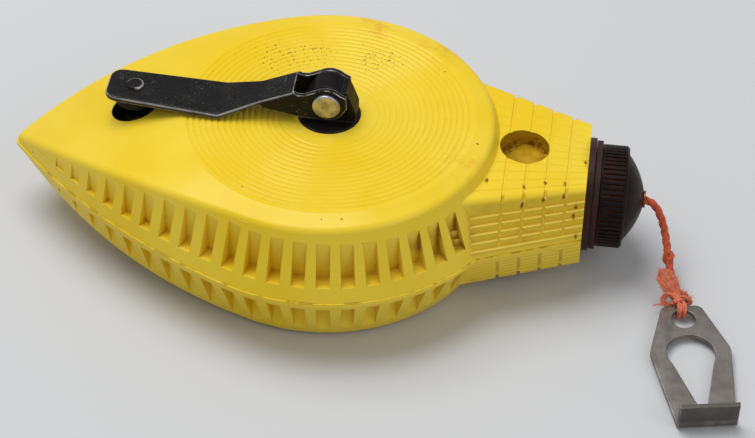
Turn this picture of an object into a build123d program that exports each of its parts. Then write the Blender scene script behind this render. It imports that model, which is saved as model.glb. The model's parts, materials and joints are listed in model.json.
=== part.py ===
from build123d import *
import os
from math import atan2, cos, hypot, pi, radians, sin, sqrt, tan

# Chalk line reel: a teardrop case in two halves round a hand-cranked spool, a screw cap on its neck,
# and a short free lead of line that ends in a flat steel hook.
# Millimetres. +X runs from the pointed tip to the cap, +Z up the spool axis.
# The origin is on the spool axis, on the flat face that the case rests on.

# Case outline at the parting plane
PARTING_Z = 22.0
TOP_Z = 2 * PARTING_Z
END_RADIUS = 58.4
SIDE_RADIUS = 210.2
SIDE_X = 60.0
TIP_ROUND = 2.5
SHOULDER_ROUND = 2.4
LIP = 0.4
LIP_WIDTH = 2.4
LIP_DEPTH = 1.2
SIDE_Y = sqrt((SIDE_RADIUS - END_RADIUS) ** 2 - SIDE_X**2)

# Outline that the drafted wall comes in to at the height of the flat disc
RIM_SHIFT = -0.8
RIM_END_RADIUS = 49.4
RIM_SIDE_RADIUS = 185.1
RIM_SIDE_X = 40.0
RIM_SIDE_Y = sqrt((RIM_SIDE_RADIUS - RIM_END_RADIUS) ** 2 - RIM_SIDE_X**2)

# Turned top: a flat disc that falls away in one arc towards the tip, as radius and height
DISC_RADIUS = 44.0
DOME_MIDDLE = (65.0, 38.0)
DOME_END = (97.5, 23.4)
DECK_THICKNESS = 2.8
CAVITY_INSET = 10.0

# Rings turned into the disc
RING_COUNT = 16
RING_FIRST = 15.0
RING_PITCH = 1.8
RING_WIDTH = 1.2
RING_DEPTH = 0.32

# Grip pockets round the sides, drawn straight up out of the drafted wall
POCKET_COUNT = 21
POCKET_FIRST = 17.0
POCKET_PITCH = 7.54
POCKET_WIDTH = 4.0
POCKET_LEDGE = 4.2
POCKET_BELOW_RIM = 2.6
POCKET_BACK_MOST = 7.0
POCKET_BACK_LEAST = 0.9
POCKET_REACH = 12.0
RIM_ROUNDS = 6

# Neck
NECK_ROOT_X = 38.0
NECK_END_X = 78.0
NECK_HALF_WIDTH = 20.6
NECK_SPLAY = 0.428
NECK_TOP_HALF = 15.6
NECK_TOP_SPLAY = 0.359
NECK_TOP_Z = 37.2
NECK_TOP_RISE = 0.055
NECK_LIP_HEIGHT = 2.4
NECK_STEPS = 5
NECK_TREAD = 1.0
NECK_RISER = 2.25
NECK_CORNER = 2.2
NECK_LINES = 11
NECK_LINE_WIDTH = 0.6
NECK_LINE_DEPTH = 0.2
NECK_GROOVE_X = 53.7
NECK_GROOVE_PITCH = 6.07
NECK_GROOVE_COUNT = 4
NECK_GROOVE_WIDTH = 0.95
NECK_GROOVE_DEPTH = 0.3
NECK_GROOVE_REACH = 60.0
NECK_CAVITY_HEIGHT = 9.0
NECK_CAVITY_X = (40.0, 70.0)
NECK_CAVITY_HALF = (24.0, 11.5)
RECESS_X = 58.7
RECESS_RADIUS = 7.4
RECESS_FLOOR_Z = 33.0

# Case screws, driven up from below
SCREW_PLACES = [(-73, 0), (-54, 21), (-54, -21), (55, 17), (55, -17)]
BOSS_RADIUS = 3.9
SCREW_SEAT_Z = 12.0
SCREW_RADIUS = 1.5
SCREW_LENGTH = 18.0
SCREW_HEAD_RADIUS = 2.9
SCREW_HEAD_HEIGHT = 2.0
SCREW_WELL_RADIUS = 3.3
SCREW_CROSS = (3.8, 0.7, 0.8)
SCREW_FIT = 0.06

# How far a cut runs past the face it opens, and how close to its place a corner or an edge is looked for
PAST = 1.0
CLOSE_BY = 1.0
NEAR = 0.05

# Spool and its bearings
FLANGE_RADIUS = 45.0
FLANGE_THICKNESS = 1.6
FLANGE_BORE = 7.0
DRUM_RADIUS = 12.0
WINDING_RADIUS = 31.0
SPOOL_LOW_Z = 6.0
SPOOL_HIGH_Z = 33.4
JOURNAL_RADIUS = 5.0
JOURNAL_LOW_Z = 3.2
BUSH_RADIUS = 7.0
BUSH_TOP_Z = 5.4
BUSH_FIT = 0.06
BUSH_BOSS_RADIUS = 9.5
THRUST_WASHER_Z = (5.4, 5.9)
THRUST_WASHER_RADII = (5.4, 9.0)
SOCKET_SIDE = 9.0
SOCKET_FLOOR_Z = 15.0
SOCKET_FIT = 0.02
HUB_SCREW_RADIUS = 1.85
HUB_SCREW_FIT = 0.05
HUB_SCREW_TOP_Z = 28.0
HUB_SCREW_WELL_RADIUS = 3.9
HUB_SCREW_HEAD = (3.3, 2.4)
HUB_SCREW_SLOT = (6.6, 0.9, 0.9)
HUB_WASHER = (2.1, 3.7, 0.8)
HUB_WASHER_TOP_Z = 10.5

# Hub and crank
HUB_RADIUS = 9.2
HUB_HOLE_RADIUS = 9.5
HUB_FLANGE_RADIUS = 11.2
HUB_FLANGE_TOP_Z = 38.0
HUB_TOP_Z = 44.4
SEAL_RADII = (9.5, 13.5)
SEAL_THICKNESS = 2.6
PIN_Z = 51.5
PIN_RADIUS = 2.5
PIN_FIT = 0.06
PIN_HEAD = (4.15, 1.1, 0.4)
LUG_HALF = 3.6
LUG_ROUND = 5.5
LUG_SIDES = [(-7.8, 49.0), (-4.6, 54.4), (5.6, 55.2), (6.9, 52.2), (8.5, 47.6)]
LUG_SINK = 1.0
SHEET = 1.3
ARM_HALF_GAP = 4.1
ARM_HALF_WIDTH = 5.5
ARM_EDGE_ROUND = 1.1
EAR_RADIUS = 5.5
EAR_BACK = [(-8.6, 54.2), (-6.8, 54.3), (-3.4, 55.9), (0, 51.5), (-2.0, 46.2), (-8.3, 46.2), (-19.0, 48.3)]
EAR_HEEL = [(0, 51.5), (3.7, 55.5), (5.8, 54.4), (6.0, 50.8), (5.2, 49.4)]
ARM_TIP_X = -66.8
ARM_TIP_HALF = 7.0
ARM_TIP_ROUND = 4.0
CREASE_X = -32.3
CREASE_Z = 46.0
CREASE_HALF = 8.2
CREASE_ROUND = 6.0
CREASE_BEND = 3.0
ARM_SLOPE = 4.1
WAIST = (-20.7, 50.2)
WEB_END = (-10.0, 55.0)

# Knob on the crank's end, and the recess under it
KNOB_X = -58.4
KNOB_RADIUS = 6.4
KNOB_HEIGHT = 3.7
KNOB_GAP = 0.2
KNOB_ROUND = 1.2
KNOB_BORE = 1.58
KNOB_WELL = (2.7, 1.1)
RIVET_RADIUS = 1.5
RIVET_HEAD = (2.6, 0.9, 0.5)
RIVET_TAIL = (2.3, 0.8)
KNOB_RECESS_X = -58.8
KNOB_RECESS_RADIUS = 7.2
KNOB_RECESS_FLOOR_Z = 31.0
KNOB_RECESS_WALL = 1.8

# Spout, cap and nose, all turned about the line through the neck
COLLAR_RADIUS = 17.0
COLLAR_END_X = 80.0
SLEEVE_RADIUS = 11.5
SLEEVE_X = 70.0
SPOUT_RIB_RADIUS = 13.0
SPOUT_RIB_X = (73.0, 74.5)
SPOUT_THREAD_RADIUS = 12.6
SPOUT_END_X = 88.4
SPOUT_BORE = 9.5
SPOUT_FIT = 0.05
GASKET_X = (80.1, 81.9)
GASKET_RADII = (13.0, 16.3)
CAP_X = 82.0
CAP_RADIUS = 15.4
CAP_BORE = 13.0
CAP_BORE_END_X = 89.0
CAP_RIM_X = 89.3
CAP_SHOULDER = (89.95, 14.75)
CAP_DOME_FOOT = (90.05, 12.9)
CAP_DOME_MIDDLE = (93.0, 8.6)
CAP_NOSE = (95.3, 2.2)
CAP_WELL_RADIUS = 9.4
CAP_WELL_END_X = 91.4
KNURL_COUNT = 60
KNURL_WIDTH = 0.75
KNURL_DEPTH = 0.6
KNURL_X = (82.7, 89.1)
EYELET_BORE = 1.6
EYELET_TUBE = 2.15
EYELET_FLANGE = 2.6
EYELET_X = (91.6, 95.35, 95.9)
WIPER_RADII = (1.55, 9.2)
WIPER_X = (89.1, 91.3)

# Line: the run inside the case, the run through the nose, and the free lead
LINE_RADIUS = 1.25
INNER_ROUTE = [(14.9, -29.6, 22), (38, -17.8, 22), (56, -7.6, 22), (68, -1.9, 22), (76, 0, 22)]
NOSE_LINE_X = (76.4, 95.0)
LEAD_ROUTE = [
    (95.3, 0, 22),
    (98.5, -0.3, 21.3),
    (101.1, -1.9, 17.6),
    (102.9, -4.7, 13.4),
    (104.1, -8.6, 10.0),
    (105.2, -13.4, 7.2),
    (106.5, -17.6, 5.3),
    (107.9, -20.9, 4.1),
]
BEND_SHARE = 0.45
STOPPER_SHARE = 0.625
STOPPER_RADIUS = 2.5

# Hook: flat plate with a tying hole, a teardrop window and an up-turned end tab
HOOK_HOLE = (110.3, -30.4)
HOOK_TURN = radians(11.7)
HOOK_LIFT = radians(2.7)
HOOK_SHEET = 1.3
HOOK_HOLE_RADIUS = 3.6
HOOK_TOP = (5.8, -5.2)
HOOK_WIDE = (12.0, 12.2)
HOOK_END = (8.5, 41.0)
HOOK_TAB_HEIGHT = 9.6
HOOK_BEND = 1.9
HOOK_BEND_INSIDE = 0.7
HOOK_TOP_ROUND = 2.5
HOOK_SIDE_ROUND = 6.0
WINDOW_CENTRE = 13.4
WINDOW_RADIUS = 7.2
WINDOW_TIP = (1.3, 33.7)
LOOP_CENTRE = -4.4
LOOP_RADIUS = 2.15
LOOP_STRAND = 0.75
LOOP_HEIGHT = 2.95
KNOT_RADIUS = 2.6
KNOT_SET_BACK = 4.1
KNOT_RISE = 0.4
TAIL_START = (-0.6, -1.0, 1.7)
TAIL_TIP = (102.5, -17.4, 10.0)
TAIL_FACES = (0.085, -0.731, 0.677)
TAIL_ROOT = (1.3, 0.7)
TAIL_END = (2.5, 0.6)


def teardrop(end, side, side_x, shift=0.0, mode=Mode.ADD):
    """Draw a case outline: a round end, two long side arcs that touch it, and a small round tip."""
    side_y = sqrt((side - end) ** 2 - side_x**2)
    touch = (shift - end * side_x / (side - end), end * side_y / (side - end))
    tip_centre = shift + side_x - sqrt((side - TIP_ROUND) ** 2 - side_y**2)
    tip_side = side / (side - TIP_ROUND)
    tip = (shift + side_x + (tip_centre - shift - side_x) * tip_side, side_y * (tip_side - 1))
    halfway = (atan2(-side_y, tip_centre - shift - side_x) + atan2(-side_y, -side_x)) / 2
    middle = (shift + side_x + side * cos(halfway), -side_y - side * sin(halfway))
    with BuildLine() as outline:
        ThreePointArc((touch[0], -touch[1]), (shift + end, 0), touch)
        ThreePointArc(touch, middle, tip)
        ThreePointArc(tip, (tip_centre - TIP_ROUND, 0), (tip[0], -tip[1]))
        ThreePointArc((tip[0], -tip[1]), (middle[0], -middle[1]), (touch[0], -touch[1]))
    make_face(outline.edges(), mode=mode)


def parting_outline(inset, mode=Mode.ADD):
    """Draw the case outline at the parting plane, moved in by inset."""
    teardrop(END_RADIUS - inset, SIDE_RADIUS - inset, SIDE_X, mode=mode)


def dome(drop):
    """Draw half of the turned top's section in radius and height, lowered by drop."""
    start = (DISC_RADIUS, TOP_Z - drop)
    middle = (DOME_MIDDLE[0], DOME_MIDDLE[1] - drop)
    end = (DOME_END[0], DOME_END[1] - drop)
    with BuildLine() as outline:
        ThreePointArc(start, middle, end)
        Polyline(end, (DOME_END[0], 0), (0, 0), (0, TOP_Z - drop), start)
    make_face(outline.edges())


def dome_height(radius):
    """Height of the turned top outside its flat disc, from the circle through its three points."""
    (ax, ay), (bx, by), (cx, cy) = (DISC_RADIUS, TOP_Z), DOME_MIDDLE, DOME_END
    twice = 2 * (ax * (by - cy) + bx * (cy - ay) + cx * (ay - by))
    a, b, c = ax**2 + ay**2, bx**2 + by**2, cx**2 + cy**2
    middle_x = (a * (by - cy) + b * (cy - ay) + c * (ay - by)) / twice
    middle_y = (a * (cx - bx) + b * (ax - cx) + c * (bx - ax)) / twice
    arc = hypot(ax - middle_x, ay - middle_y)
    return middle_y + sqrt(arc**2 - (radius - middle_x) ** 2)


def wall_draft(x, y, outward, centre, radius):
    """How far the wall comes in for each unit of height, at a point under an arc of the rim."""
    away_x, away_y = x - centre[0], y - centre[1]
    facing = away_x * outward[0] + away_y * outward[1]
    beyond = away_x**2 + away_y**2 - radius**2
    return (facing - sqrt(facing**2 - beyond)) / (TOP_Z - PARTING_Z)


def rim_height(x, y, outward, draft):
    """Height at which the drafted wall at a point of the outline meets the turned top."""
    height = TOP_Z
    for _ in range(RIM_ROUNDS):
        inset = (height - PARTING_Z) * draft
        height = dome_height(hypot(x - inset * outward[0], y - inset * outward[1]))
    return height


def pocket_tools():
    """Boxes for the grip pockets, each with an upright back that meets the wall just below the rim."""
    tip_angle = atan2(-SIDE_Y, -sqrt(SIDE_RADIUS**2 - SIDE_Y**2))
    touch_angle = atan2(-SIDE_Y, -SIDE_X)
    side_length = SIDE_RADIUS * (touch_angle - tip_angle)
    for number in range(POCKET_COUNT):
        along = POCKET_FIRST + number * POCKET_PITCH
        if along < side_length:
            angle = tip_angle + along / SIDE_RADIUS
            x, y = SIDE_X + SIDE_RADIUS * cos(angle), SIDE_Y + SIDE_RADIUS * sin(angle)
            rim_arc = ((RIM_SHIFT + RIM_SIDE_X, RIM_SIDE_Y), RIM_SIDE_RADIUS)
        else:
            angle = touch_angle + (along - side_length) / END_RADIUS
            x, y = END_RADIUS * cos(angle), END_RADIUS * sin(angle)
            rim_arc = ((RIM_SHIFT, 0), RIM_END_RADIUS)
        outward = (cos(angle), sin(angle))
        draft = wall_draft(x, y, outward, *rim_arc)
        back = (rim_height(x, y, outward, draft) - POCKET_BELOW_RIM - PARTING_Z) * draft
        back = min(max(back, POCKET_BACK_LEAST), POCKET_BACK_MOST)
        for side in (1, -1):
            foot = (x - back * outward[0], side * (y - back * outward[1]), PARTING_Z + POCKET_LEDGE)
            place = Plane(foot, x_dir=(outward[0], side * outward[1], 0), z_dir=(0, 0, 1))
            with Locations(place):
                Box(POCKET_REACH, POCKET_WIDTH, TOP_Z, align=(Align.MIN, Align.CENTER, Align.MIN))


def neck_sizes(x):
    """Half width at the parting plane, half width and height of the top, at a place along the neck."""
    back = NECK_END_X - x
    half = NECK_HALF_WIDTH + NECK_SPLAY * back
    top_half = NECK_TOP_HALF + NECK_TOP_SPLAY * back
    return half, top_half, NECK_TOP_Z + NECK_TOP_RISE * back


def neck_steps(x):
    """Outer and inner corners of the ledges up the neck's side, on a wall that leans in between them."""
    half, top_half, height = neck_sizes(x)
    lean = (half - top_half - NECK_STEPS * NECK_TREAD) / (height - PARTING_Z)
    outer, inner = [], []
    for step in range(NECK_STEPS):
        ledge = PARTING_Z + NECK_LIP_HEIGHT + step * NECK_RISER
        edge = half - step * NECK_TREAD - lean * (ledge - PARTING_Z)
        outer.append((edge, ledge))
        inner.append((edge - NECK_TREAD, ledge))
    return outer, inner


def neck_section(x):
    """Draw the upper half of the neck's section: lip, stepped side, round corner and lined top."""
    half, top_half, height = neck_sizes(x)
    right = [(half, PARTING_Z)]
    for outer, inner in zip(*neck_steps(x)):
        right += [outer, inner]
    right.append((top_half, height))
    crown = []
    for line in range(NECK_LINES):
        place = top_half - (line + 1) * 2 * top_half / (NECK_LINES + 1)
        crown.append((place + NECK_LINE_WIDTH / 2, height))
        crown.append((place, height - NECK_LINE_DEPTH))
        crown.append((place - NECK_LINE_WIDTH / 2, height))
    left = [(-y, z) for y, z in reversed(right)]
    with BuildLine() as outline:
        Polyline(*right, *crown, *left, close=True)
    make_face(outline.edges())
    corners = []
    for vertex in vertices():
        if abs(vertex.Y - height) < NEAR and abs(abs(vertex.X) - top_half) < NEAR:
            corners.append(vertex)
    fillet(corners, radius=NECK_CORNER)


def neck_groove_section(x):
    """Draw what a channel round the neck takes away: all outside a core up the ledges' inner corners."""
    half, top_half, height = neck_sizes(x)
    inner = neck_steps(x)[1]
    right = [
        (half + NECK_CORNER, 0),
        (half + NECK_CORNER, inner[0][1]),
        inner[0],
        inner[-1],
        (top_half - NECK_GROOVE_DEPTH, height - NECK_CORNER),
        (top_half - NECK_CORNER, height - NECK_GROOVE_DEPTH),
    ]
    left = [(-y, z) for y, z in reversed(right)]
    with Locations((0, PARTING_Z)):
        Rectangle(2 * NECK_GROOVE_REACH, NECK_GROOVE_REACH)
    with BuildLine() as core:
        Polyline(*right, *left, close=True)
    make_face(core.edges(), mode=Mode.SUBTRACT)


def neck_plan(outset, mode=Mode.ADD):
    """Draw the neck's plan at the parting plane, moved out by outset at its sides."""
    root = neck_sizes(NECK_ROOT_X)[0] + outset
    end = neck_sizes(NECK_END_X)[0] + outset
    with BuildLine() as outline:
        Polyline(
            (NECK_ROOT_X, root),
            (NECK_END_X, end),
            (NECK_END_X, -end),
            (NECK_ROOT_X, -root),
            close=True,
        )
    make_face(outline.edges(), mode=mode)


def rod(radius, low, high, mode=Mode.ADD):
    """Upright cylinder between two heights."""
    with Locations((0, 0, low)):
        Cylinder(radius, high - low, align=(Align.CENTER, Align.CENTER, Align.MIN), mode=mode)


def turned(points, mode=Mode.ADD):
    """Turn a closed outline, given along the neck's line and out from it, about that line."""
    with BuildSketch(Plane.XZ.shift_origin((0, 0, PARTING_Z))) as section:
        with BuildLine():
            Polyline(*points, close=True)
        make_face()
    revolve(section.sketch, axis=NECK_LINE, mode=mode)


def ring_points(low_x, high_x, bore, radius):
    """Corners of a plain ring's section for turned()."""
    return [(low_x, bore), (high_x, bore), (high_x, radius), (low_x, radius)]


def bend_radii(route):
    """The largest tangent arc that fits each corner of a cord's route."""
    points = [Vector(*point) for point in route]
    radii = []
    for before, corner, after in zip(points, points[1:], points[2:]):
        turn = radians((corner - before).get_angle(after - corner))
        shorter = min((corner - before).length, (after - corner).length)
        radii.append(BEND_SHARE * shorter / tan(turn / 2))
    return radii


def cord(route):
    """Sweep the line's round section along straight runs joined by tangent arcs, and return the path."""
    with BuildLine() as path:
        FilletPolyline(*route, radius=bend_radii(route))
    wire = path.wire()
    with BuildSketch(Plane(origin=wire @ 0, z_dir=wire % 0)) as section:
        Circle(LINE_RADIUS)
    sweep(section.sketch, path=wire)
    return wire


NECK_LINE = Axis((0, 0, PARTING_Z), (1, 0, 0))
CRANK_PLANE = Plane(
    (KNOB_X, 0, CREASE_Z + (CREASE_X - KNOB_X) * tan(radians(ARM_SLOPE))),
    x_dir=(0, 1, 0),
    z_dir=(sin(radians(ARM_SLOPE)), 0, cos(radians(ARM_SLOPE))),
)
HOOK_ALONG = Vector(sin(HOOK_TURN) * cos(HOOK_LIFT), -cos(HOOK_TURN) * cos(HOOK_LIFT), -sin(HOOK_LIFT))
HOOK_UP = Vector(sin(HOOK_TURN) * sin(HOOK_LIFT), -cos(HOOK_TURN) * sin(HOOK_LIFT), cos(HOOK_LIFT))
HOOK_ACROSS = Vector(-cos(HOOK_TURN), -sin(HOOK_TURN), 0)
HOOK_ORIGIN = Vector(*HOOK_HOLE, LOOP_HEIGHT + LOOP_CENTRE * sin(HOOK_LIFT))
HOOK_PLANE = Plane(HOOK_ORIGIN, x_dir=HOOK_ACROSS, z_dir=HOOK_UP)
LOOP_AT = HOOK_ORIGIN + HOOK_ALONG * LOOP_CENTRE
KNOT_AT = LOOP_AT - HOOK_ALONG * KNOT_SET_BACK + Vector(0, 0, KNOT_RISE)

# Solid form of one half of the case, up from the parting plane
with BuildPart() as grip_pockets:
    pocket_tools()

with BuildPart() as half_form:
    with BuildSketch(Plane.XY.offset(PARTING_Z)):
        parting_outline(0)
    with BuildSketch(Plane.XY.offset(TOP_Z)):
        teardrop(RIM_END_RADIUS, RIM_SIDE_RADIUS, RIM_SIDE_X, shift=RIM_SHIFT)
    loft(ruled=True)
    with BuildSketch(Plane.XZ):
        dome(0)
    revolve(axis=Axis.Z, mode=Mode.INTERSECT)
    rim_edges = []
    for edge in half_form.edges():
        point = edge @ 0.5
        away = hypot(point.X, point.Y)
        if away > DISC_RADIUS + PAST and abs(point.Z - dome_height(away)) < NEAR:
            rim_edges.append(edge)
    fillet(rim_edges, radius=SHOULDER_ROUND)
    add(grip_pockets.part, mode=Mode.SUBTRACT)
    with BuildSketch(Plane.YZ.offset(NECK_ROOT_X)):
        neck_section(NECK_ROOT_X)
    with BuildSketch(Plane.YZ.offset(NECK_END_X)):
        neck_section(NECK_END_X)
    loft(ruled=True)
    for groove in range(NECK_GROOVE_COUNT):
        groove_x = NECK_GROOVE_X + groove * NECK_GROOVE_PITCH
        with BuildSketch(Plane.YZ.offset(groove_x)):
            neck_groove_section(groove_x)
        extrude(amount=NECK_GROOVE_WIDTH, mode=Mode.SUBTRACT)

# Hollow of one half of the case, with the screw bosses left standing
with BuildPart() as half_hollow:
    with BuildSketch(Plane.XY.offset(PARTING_Z)):
        parting_outline(CAVITY_INSET)
    extrude(amount=PARTING_Z)
    with BuildSketch(Plane.XZ):
        dome(DECK_THICKNESS)
    revolve(axis=Axis.Z, mode=Mode.INTERSECT)
    for place_x, place_half in zip(NECK_CAVITY_X, NECK_CAVITY_HALF):
        with BuildSketch(Plane.YZ.offset(place_x)):
            with Locations((0, PARTING_Z)):
                Rectangle(2 * place_half, NECK_CAVITY_HEIGHT, align=(Align.CENTER, Align.MIN))
    loft(ruled=True)
    for place in SCREW_PLACES:
        with Locations((*place, PARTING_Z)):
            Cylinder(
                BOSS_RADIUS,
                PARTING_Z,
                align=(Align.CENTER, Align.CENTER, Align.MIN),
                mode=Mode.SUBTRACT,
            )

# Upper half of the case
with BuildPart() as upper_hollow:
    add(half_hollow.part)
    with Locations((KNOB_RECESS_X, 0, KNOB_RECESS_FLOOR_Z - KNOB_RECESS_WALL)):
        Cylinder(
            KNOB_RECESS_RADIUS + KNOB_RECESS_WALL,
            PARTING_Z,
            align=(Align.CENTER, Align.CENTER, Align.MIN),
            mode=Mode.SUBTRACT,
        )

with BuildPart() as upper_case:
    add(half_form.part)
    add(upper_hollow.part, mode=Mode.SUBTRACT)
    rod(HUB_HOLE_RADIUS, PARTING_Z, TOP_Z + PARTING_Z, mode=Mode.SUBTRACT)
    with Locations((KNOB_RECESS_X, 0, 0)):
        rod(KNOB_RECESS_RADIUS, KNOB_RECESS_FLOOR_Z, TOP_Z, mode=Mode.SUBTRACT)
    with Locations((RECESS_X, 0, 0)):
        rod(RECESS_RADIUS, RECESS_FLOOR_Z, TOP_Z, mode=Mode.SUBTRACT)
    with Locations(*SCREW_PLACES):
        rod(SCREW_RADIUS + SCREW_FIT, 0, SCREW_SEAT_Z + SCREW_LENGTH + SCREW_RADIUS / 2, mode=Mode.SUBTRACT)
    turned(ring_points(SLEEVE_X - PAST, NECK_END_X + PAST, 0, SLEEVE_RADIUS + SPOUT_FIT), mode=Mode.SUBTRACT)
    turned(
        ring_points(SPOUT_RIB_X[0] - SPOUT_FIT, SPOUT_RIB_X[1] + SPOUT_FIT, 0, SPOUT_RIB_RADIUS + SPOUT_FIT),
        mode=Mode.SUBTRACT,
    )
    with BuildSketch(Plane.XZ):
        for ring in range(RING_COUNT):
            ring_radius = RING_FIRST + ring * RING_PITCH
            with BuildLine():
                Polyline(
                    (ring_radius - RING_WIDTH / 2, TOP_Z + RING_DEPTH),
                    (ring_radius - RING_WIDTH / 2, TOP_Z),
                    (ring_radius, TOP_Z - RING_DEPTH),
                    (ring_radius + RING_WIDTH / 2, TOP_Z),
                    (ring_radius + RING_WIDTH / 2, TOP_Z + RING_DEPTH),
                    close=True,
                )
            make_face()
    revolve(axis=Axis.Z, mode=Mode.SUBTRACT)

# Lower half of the case, the mirror of the upper one with a thin lip, a bearing boss and screw wells
with BuildPart() as lower_case:
    mirror(half_form.part, about=Plane.XY.offset(PARTING_Z))
    with BuildSketch(Plane.XY.offset(PARTING_Z)):
        parting_outline(-LIP)
        neck_plan(LIP)
        parting_outline(LIP_WIDTH, mode=Mode.SUBTRACT)
        neck_plan(-LIP_WIDTH, mode=Mode.SUBTRACT)
    extrude(amount=-LIP_DEPTH)
    mirror(half_hollow.part, about=Plane.XY.offset(PARTING_Z), mode=Mode.SUBTRACT)
    rod(BUSH_BOSS_RADIUS, DECK_THICKNESS / 2, BUSH_TOP_Z)
    rod(BUSH_RADIUS, DECK_THICKNESS, BUSH_TOP_Z, mode=Mode.SUBTRACT)
    with Locations(*SCREW_PLACES):
        rod(SCREW_WELL_RADIUS, -PARTING_Z, SCREW_SEAT_Z, mode=Mode.SUBTRACT)
        rod(SCREW_RADIUS + SCREW_FIT, SCREW_SEAT_Z, PARTING_Z, mode=Mode.SUBTRACT)
    turned(ring_points(SLEEVE_X - PAST, NECK_END_X + PAST, 0, SLEEVE_RADIUS + SPOUT_FIT), mode=Mode.SUBTRACT)
    turned(
        ring_points(SPOUT_RIB_X[0] - SPOUT_FIT, SPOUT_RIB_X[1] + SPOUT_FIT, 0, SPOUT_RIB_RADIUS + SPOUT_FIT),
        mode=Mode.SUBTRACT,
    )

# Case screws, one group
with BuildPart() as case_screws:
    with Locations(*SCREW_PLACES):
        rod(SCREW_HEAD_RADIUS, SCREW_SEAT_Z - SCREW_HEAD_HEIGHT, SCREW_SEAT_Z)
        rod(SCREW_RADIUS, SCREW_SEAT_Z, SCREW_SEAT_Z + SCREW_LENGTH)
        with Locations((0, 0, SCREW_SEAT_Z - SCREW_HEAD_HEIGHT)):
            for turn in (0, 90):
                Box(
                    *SCREW_CROSS,
                    rotation=(0, 0, turn),
                    align=(Align.CENTER, Align.CENTER, Align.MIN),
                    mode=Mode.SUBTRACT,
                )

# Spool: drum with the lower flange, upper flange, and the line wound between them
with BuildPart() as spool_drum:
    rod(FLANGE_RADIUS, SPOOL_LOW_Z, SPOOL_LOW_Z + FLANGE_THICKNESS)
    rod(DRUM_RADIUS, SPOOL_LOW_Z, SPOOL_HIGH_Z)
    rod(JOURNAL_RADIUS, JOURNAL_LOW_Z, SPOOL_LOW_Z)
    rod(HUB_SCREW_WELL_RADIUS, 0, HUB_WASHER_TOP_Z, mode=Mode.SUBTRACT)
    rod(HUB_WASHER[0], HUB_WASHER_TOP_Z, SOCKET_FLOOR_Z, mode=Mode.SUBTRACT)
    with Locations((0, 0, SOCKET_FLOOR_Z)):
        Box(
            SOCKET_SIDE,
            SOCKET_SIDE,
            SPOOL_HIGH_Z,
            align=(Align.CENTER, Align.CENTER, Align.MIN),
            mode=Mode.SUBTRACT,
        )

with BuildPart() as spool_flange:
    rod(FLANGE_RADIUS, SPOOL_HIGH_Z, SPOOL_HIGH_Z + FLANGE_THICKNESS)
    rod(FLANGE_BORE, SPOOL_HIGH_Z, SPOOL_HIGH_Z + FLANGE_THICKNESS, mode=Mode.SUBTRACT)

with BuildPart() as wound_line:
    rod(WINDING_RADIUS, SPOOL_LOW_Z + FLANGE_THICKNESS, SPOOL_HIGH_Z)
    rod(DRUM_RADIUS, SPOOL_LOW_Z + FLANGE_THICKNESS, SPOOL_HIGH_Z, mode=Mode.SUBTRACT)

with BuildPart() as lower_bush:
    rod(BUSH_RADIUS, DECK_THICKNESS, BUSH_TOP_Z)
    rod(JOURNAL_RADIUS + BUSH_FIT, DECK_THICKNESS, BUSH_TOP_Z, mode=Mode.SUBTRACT)

with BuildPart() as thrust_washer:
    rod(THRUST_WASHER_RADII[1], *THRUST_WASHER_Z)
    rod(THRUST_WASHER_RADII[0], *THRUST_WASHER_Z, mode=Mode.SUBTRACT)

with BuildPart() as hub_seal:
    rod(SEAL_RADII[1], TOP_Z - DECK_THICKNESS - SEAL_THICKNESS, TOP_Z - DECK_THICKNESS)
    rod(SEAL_RADII[0], 0, TOP_Z, mode=Mode.SUBTRACT)

# Hub: a round black head with a lug for the crank, on a square shank down into the drum
with BuildPart() as drive_hub:
    shank = SOCKET_SIDE - 2 * SOCKET_FIT
    with Locations((0, 0, SOCKET_FLOOR_Z + SOCKET_FIT)):
        Box(
            shank,
            shank,
            SPOOL_HIGH_Z + FLANGE_THICKNESS - SOCKET_FLOOR_Z,
            align=(Align.CENTER, Align.CENTER, Align.MIN),
        )
    rod(HUB_FLANGE_RADIUS, SPOOL_HIGH_Z + FLANGE_THICKNESS, HUB_FLANGE_TOP_Z)
    rod(HUB_RADIUS, HUB_FLANGE_TOP_Z, HUB_TOP_Z)
    with BuildSketch(Plane.XZ):
        with Locations((0, PIN_Z)):
            Circle(LUG_ROUND)
        foot = HUB_TOP_Z - LUG_SINK
        with BuildLine():
            Polyline((LUG_SIDES[0][0], foot), *LUG_SIDES, (LUG_SIDES[-1][0], foot), close=True)
        make_face()
    extrude(amount=LUG_HALF, both=True)
    with BuildSketch(Plane.XZ):
        with Locations((0, PIN_Z)):
            Circle(PIN_RADIUS + PIN_FIT)
    extrude(amount=HUB_RADIUS, both=True, mode=Mode.SUBTRACT)
    rod(HUB_SCREW_RADIUS + HUB_SCREW_FIT, 0, HUB_SCREW_TOP_Z + PAST, mode=Mode.SUBTRACT)

with BuildPart() as hub_washer:
    rod(HUB_WASHER[1], HUB_WASHER_TOP_Z - HUB_WASHER[2], HUB_WASHER_TOP_Z)
    rod(HUB_WASHER[0], 0, HUB_WASHER_TOP_Z, mode=Mode.SUBTRACT)

with BuildPart() as hub_screw:
    head_top = HUB_WASHER_TOP_Z - HUB_WASHER[2]
    rod(HUB_SCREW_HEAD[0], head_top - HUB_SCREW_HEAD[1], head_top)
    rod(HUB_SCREW_RADIUS, head_top, HUB_SCREW_TOP_Z)
    with Locations((0, 0, head_top - HUB_SCREW_HEAD[1])):
        Box(*HUB_SCREW_SLOT, align=(Align.CENTER, Align.CENTER, Align.MIN), mode=Mode.SUBTRACT)

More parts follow.
